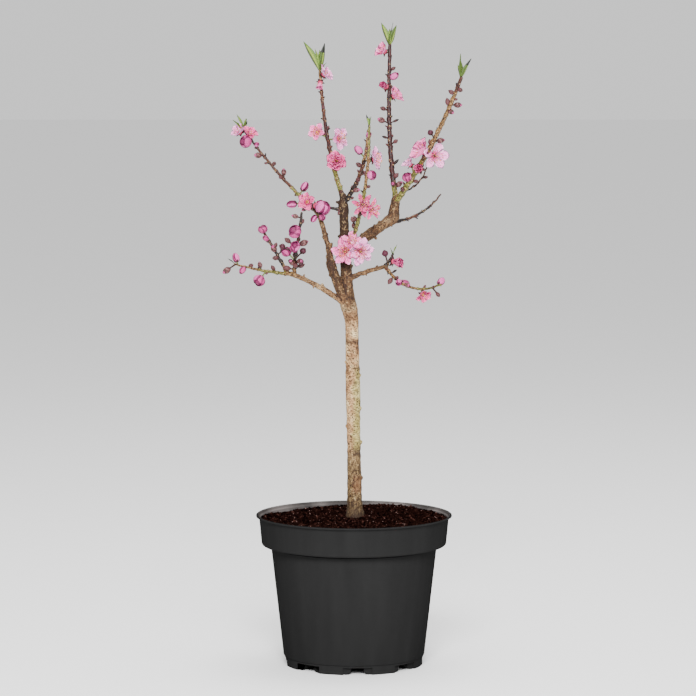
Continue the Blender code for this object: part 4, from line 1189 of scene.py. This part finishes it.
def modelBlossom(curves):
    petalTones = {palette + zone: colour for palette, colours in palettes.items()
                  for zone, colour in zip(petalZones, colours)}
    piles = {"petals": Pile("petals", plainMaterials(petalTones, 0.55)),
             "stamens": Pile("stamens", plainMaterials(stamenTones, 0.5)),
             "buds": Pile("buds", plainMaterials(budTones, 0.6))}
    dice = random.Random(17)
    heads = []
    for name, load in carries.items():
        for kind, along, azimuth, lift, reach, *finish in load:
            foot = pointAt(curves[name], along)
            direction = compass(azimuth, lift)
            if kind in flowerKinds:
                palette, faceAzimuth, faceLift, scale = finish
                facing = compass(faceAzimuth, faceLift)
                addFlower(piles, kind, foot, direction, reach, palette, facing, scale, dice)
                heads.append((foot + direction * reach, 11 * scale))
            else:
                addBud(piles["buds"], kind, foot, direction, reach, finish[0] if finish else 1.0, dice)
                heads.append((foot + direction * reach, 9 if kind in ("ball", "globe") else 6))
    for name in shoots:
        addNodeBuds(piles["buds"], name, curves[name], heads, dice)
    for pile in piles.values():
        dressShoots(pile.build())


def addNodeBuds(pile, name, line, heads, dice):
    # up to three buds at every node, spiralling round the shoot, where no flower or bigger bud is near
    limb = limbs[name]
    for index, along in enumerate(shootNodes(name)):
        heading = headingAt(line, along)
        radius = limb.thick + (limb.thin - limb.thick) * along
        bare = name == "twig_right_back"
        count = dice.choice((1, 1, 2)) if bare else dice.choice((0, 1, 1, 2, 3))
        for place in range(count):
            swing = radians(144 * index) + (place - (count - 1) / 2) * 0.9 + dice.uniform(-0.25, 0.25)
            outwards = around(heading, swing)
            kind = "leaf" if bare or count == 3 and place == 1 else dice.choice(("brown", "leaf"))
            direction = (outwards + heading * dice.uniform(0.6, 1.2)).normalized()
            scale = dice.uniform(0.55, 1.0)
            reach = radius * 0.7 + (1.8 if kind == "leaf" else 3.6) * scale
            foot = pointAt(line, along) + outwards * radius * 0.4
            head = foot + direction * reach
            if all((head - centre).length > size for centre, size in heads):
                addBud(pile, kind, foot, direction, reach, scale, dice)


# young leaves

leafTones = {"youngLeaf": "#4F6B1B", "leafMidrib": "#7C8E3C", "leafPaintedShade": "#374A14",
             "leafTipDark": "#141810"}
leafOutline = ((0, 0.16), (0.12, 0.4), (0.3, 0.85), (0.45, 1.0), (0.62, 0.9), (0.8, 0.55), (0.92, 0.24),
               (1, 0.04))
tufts = {
    # each leaf: azimuth, lean from upright, length, width, how far its face is turned from the shoot, and
    # whether its tip (1) or all of it (2) is dark
    "shoot_far_left": ((175, 26, 22, 5.5, 40, 0), (190, 46, 19, 4.6, -40, 0), (-60, 10, 15, 4.2, 30, 0),
        (80, 25, 17, 4.5, 0, 0), (20, 14, 12, 3.4, 20, 1)),
    "shoot_tall_left": ((180, 27, 41, 10.5, 52, 0), (0, 9, 34, 8.5, -60, 1), (195, 9, 28, 4.6, 30, 0),
        (90, 24, 29, 7.5, 10, 0), (-70, 20, 15, 5, 20, 0), (-20, 30, 13, 4, 20, 0)),
    "shoot_middle_front": ((185, 14, 15, 3.4, 40, 1), (0, 8, 12, 3, -40, 0), (90, 20, 12, 3, 0, 0)),
    "shoot_tall_right": ((180, 19, 30, 9, 50, 0), (0, 16, 26, 9.5, -55, 0), (10, 5, 28, 1.8, 0, 2),
        (90, 24, 24, 7, 0, 0), (-80, 14, 17, 5, 20, 0)),
    "shoot_far_right": ((-95, 6, 29, 5.5, 60, 0), (0, 26, 26, 7.5, -45, 1), (90, 22, 24, 6.5, 0, 0),
        (190, 12, 17, 4.5, 40, 0)),
    "shoot_low_left": ((175, 52, 11, 2.4, 30, 2),),
    "spur_low_right": ((5, 22, 13, 2.2, 30, 0), (120, 30, 9, 2.4, 30, 0)),
}


def leaf(length, width, fold, curl, darkness):
    # a young leaf along +X, folded on its midrib and closed; its tip may be dark, or all of it; one half of
    # the fold is painted in shade
    top = []
    for step in range(13):
        s = step / 12
        half = np.interp(s, *zip(*leafOutline)) * width / 2
        for column in range(-2, 3):
            t = column / 2
            top.append(Vector((s * length, half * t * cos(fold), half * abs(t) * sin(fold)
                               + curl * length * s * s + 0.25 * sin(9 * s + column) * abs(t))))

    def toneOf(step, column, inside):
        if darkness == 2 or darkness and step > 7:
            return 3
        # columns 0 and 1, one half of the fold, are painted in shade
        return 1 if column == 2 and step < 10 else 2 if column < 2 else 0
    return closedSheet(top, [point + Vector((0, 0, -0.3)) for point in top], 5, toneOf)


def modelLeaves(curves):
    pile = Pile("youngLeaves", plainMaterials(leafTones, 0.45))
    dice = random.Random(8)
    for name, leaves in tufts.items():
        foot = curves[name][-1] - headingAt(curves[name], 0.98) * 1.5
        for azimuth, lean, length, width, turned, darkness in leaves:
            direction = compass(azimuth, 90 - lean)
            fold = radians(dice.uniform(20, 34))
            shape = leaf(length, width, fold, dice.uniform(-0.12, 0.02), darkness)
            facing = direction.to_track_quat("X", "Z").to_matrix().to_4x4()
            # the leaf's hollow side looks at the shoot's axis
            inwards = facing.to_3x3().transposed() @ -compass(azimuth, 0)
            roll = atan2(-inwards.y, inwards.z) + radians(turned)
            pile.add(*shape, Matrix.Translation(foot) @ facing @ Matrix.Rotation(roll, 4, "X"))
    dressShoots(pile.build())


# studio

studio = {"floor": "#FBFBFB", "cameraPlace": (-0.007, -4.4171, 0.82744), "cameraTilt": 84.121,
          "lens": 196.55, "sky": 1.35, "lampsLookAt": (0, 0, 0.4),
          "lamps": {"keySoftbox": ((-0.15, -2.8, 1.9), 1.0, 180), "fillSoftbox": ((0.5, -2.8, 1.3), 1.0, 45),
                    "topSoftbox": ((0.3, 0.6, 2.4), 1.6, 40)}}


def setUpStudio():
    camera = bpy.data.cameras.new("studioCamera")
    camera.lens = studio["lens"]
    camera.sensor_width = 36
    camera.clip_end = 200
    tilt = (radians(studio["cameraTilt"]), 0, 0)
    bpy.context.scene.camera = putUp(camera, studio["cameraPlace"], tilt)
    for name, (place, size, watts) in studio["lamps"].items():
        lamp = bpy.data.lights.new(name, "AREA")
        lamp.size = size
        lamp.energy = watts
        view = Vector(studio["lampsLookAt"]) - Vector(place)
        putUp(lamp, place, view.to_track_quat("-Z", "Y").to_euler())
    world = bpy.data.worlds.new("paleStudio")
    world.use_nodes = True
    parts = addNode(world, "SeparateXYZ", {"Vector": addNode(world, "TexCoord", {}).outputs["Generated"]})
    height = addNode(world, "MapRange", {"From Min": -1, "From Max": 1, "Value": parts.outputs["Z"]})
    # pale below the horizon, where the floor ends; dim at eye level, bright overhead
    shade = addNode(world, "ValToRGB", {"Fac": height, "stops": [(0.0, 0.70), (0.497, 0.70), (0.503, 0.12),
                                                                 (0.62, 0.3), (0.8, 0.6), (1.0, 1.0)]})
    setUp(world, world.node_tree.nodes["Background"], {"Color": shade, "Strength": studio["sky"]})
    bpy.context.scene.world = world
    takeUp()
    bpy.ops.mesh.primitive_plane_add(size=30)
    floor = bpy.context.object
    floor.name = "studioFloor"
    paint(floor, newMaterial("matteWhiteFloor", studio["floor"], {"Roughness": 0.9})[0])


def putUp(thing, place, turn):
    holder = bpy.data.objects.new(thing.name, thing)
    holder.location = place
    holder.rotation_euler = turn
    bpy.context.scene.collection.objects.link(holder)
    return holder


print("studio")
setUpStudio()
print("pot")
modelPot()
print("compost")
modelCompost()
print("old wood")
curves = growTree()
modelOldWood(curves)
print("shoots")
modelShoots(curves)
print("blossom")
modelBlossom(curves)
print("leaves")
modelLeaves(curves)
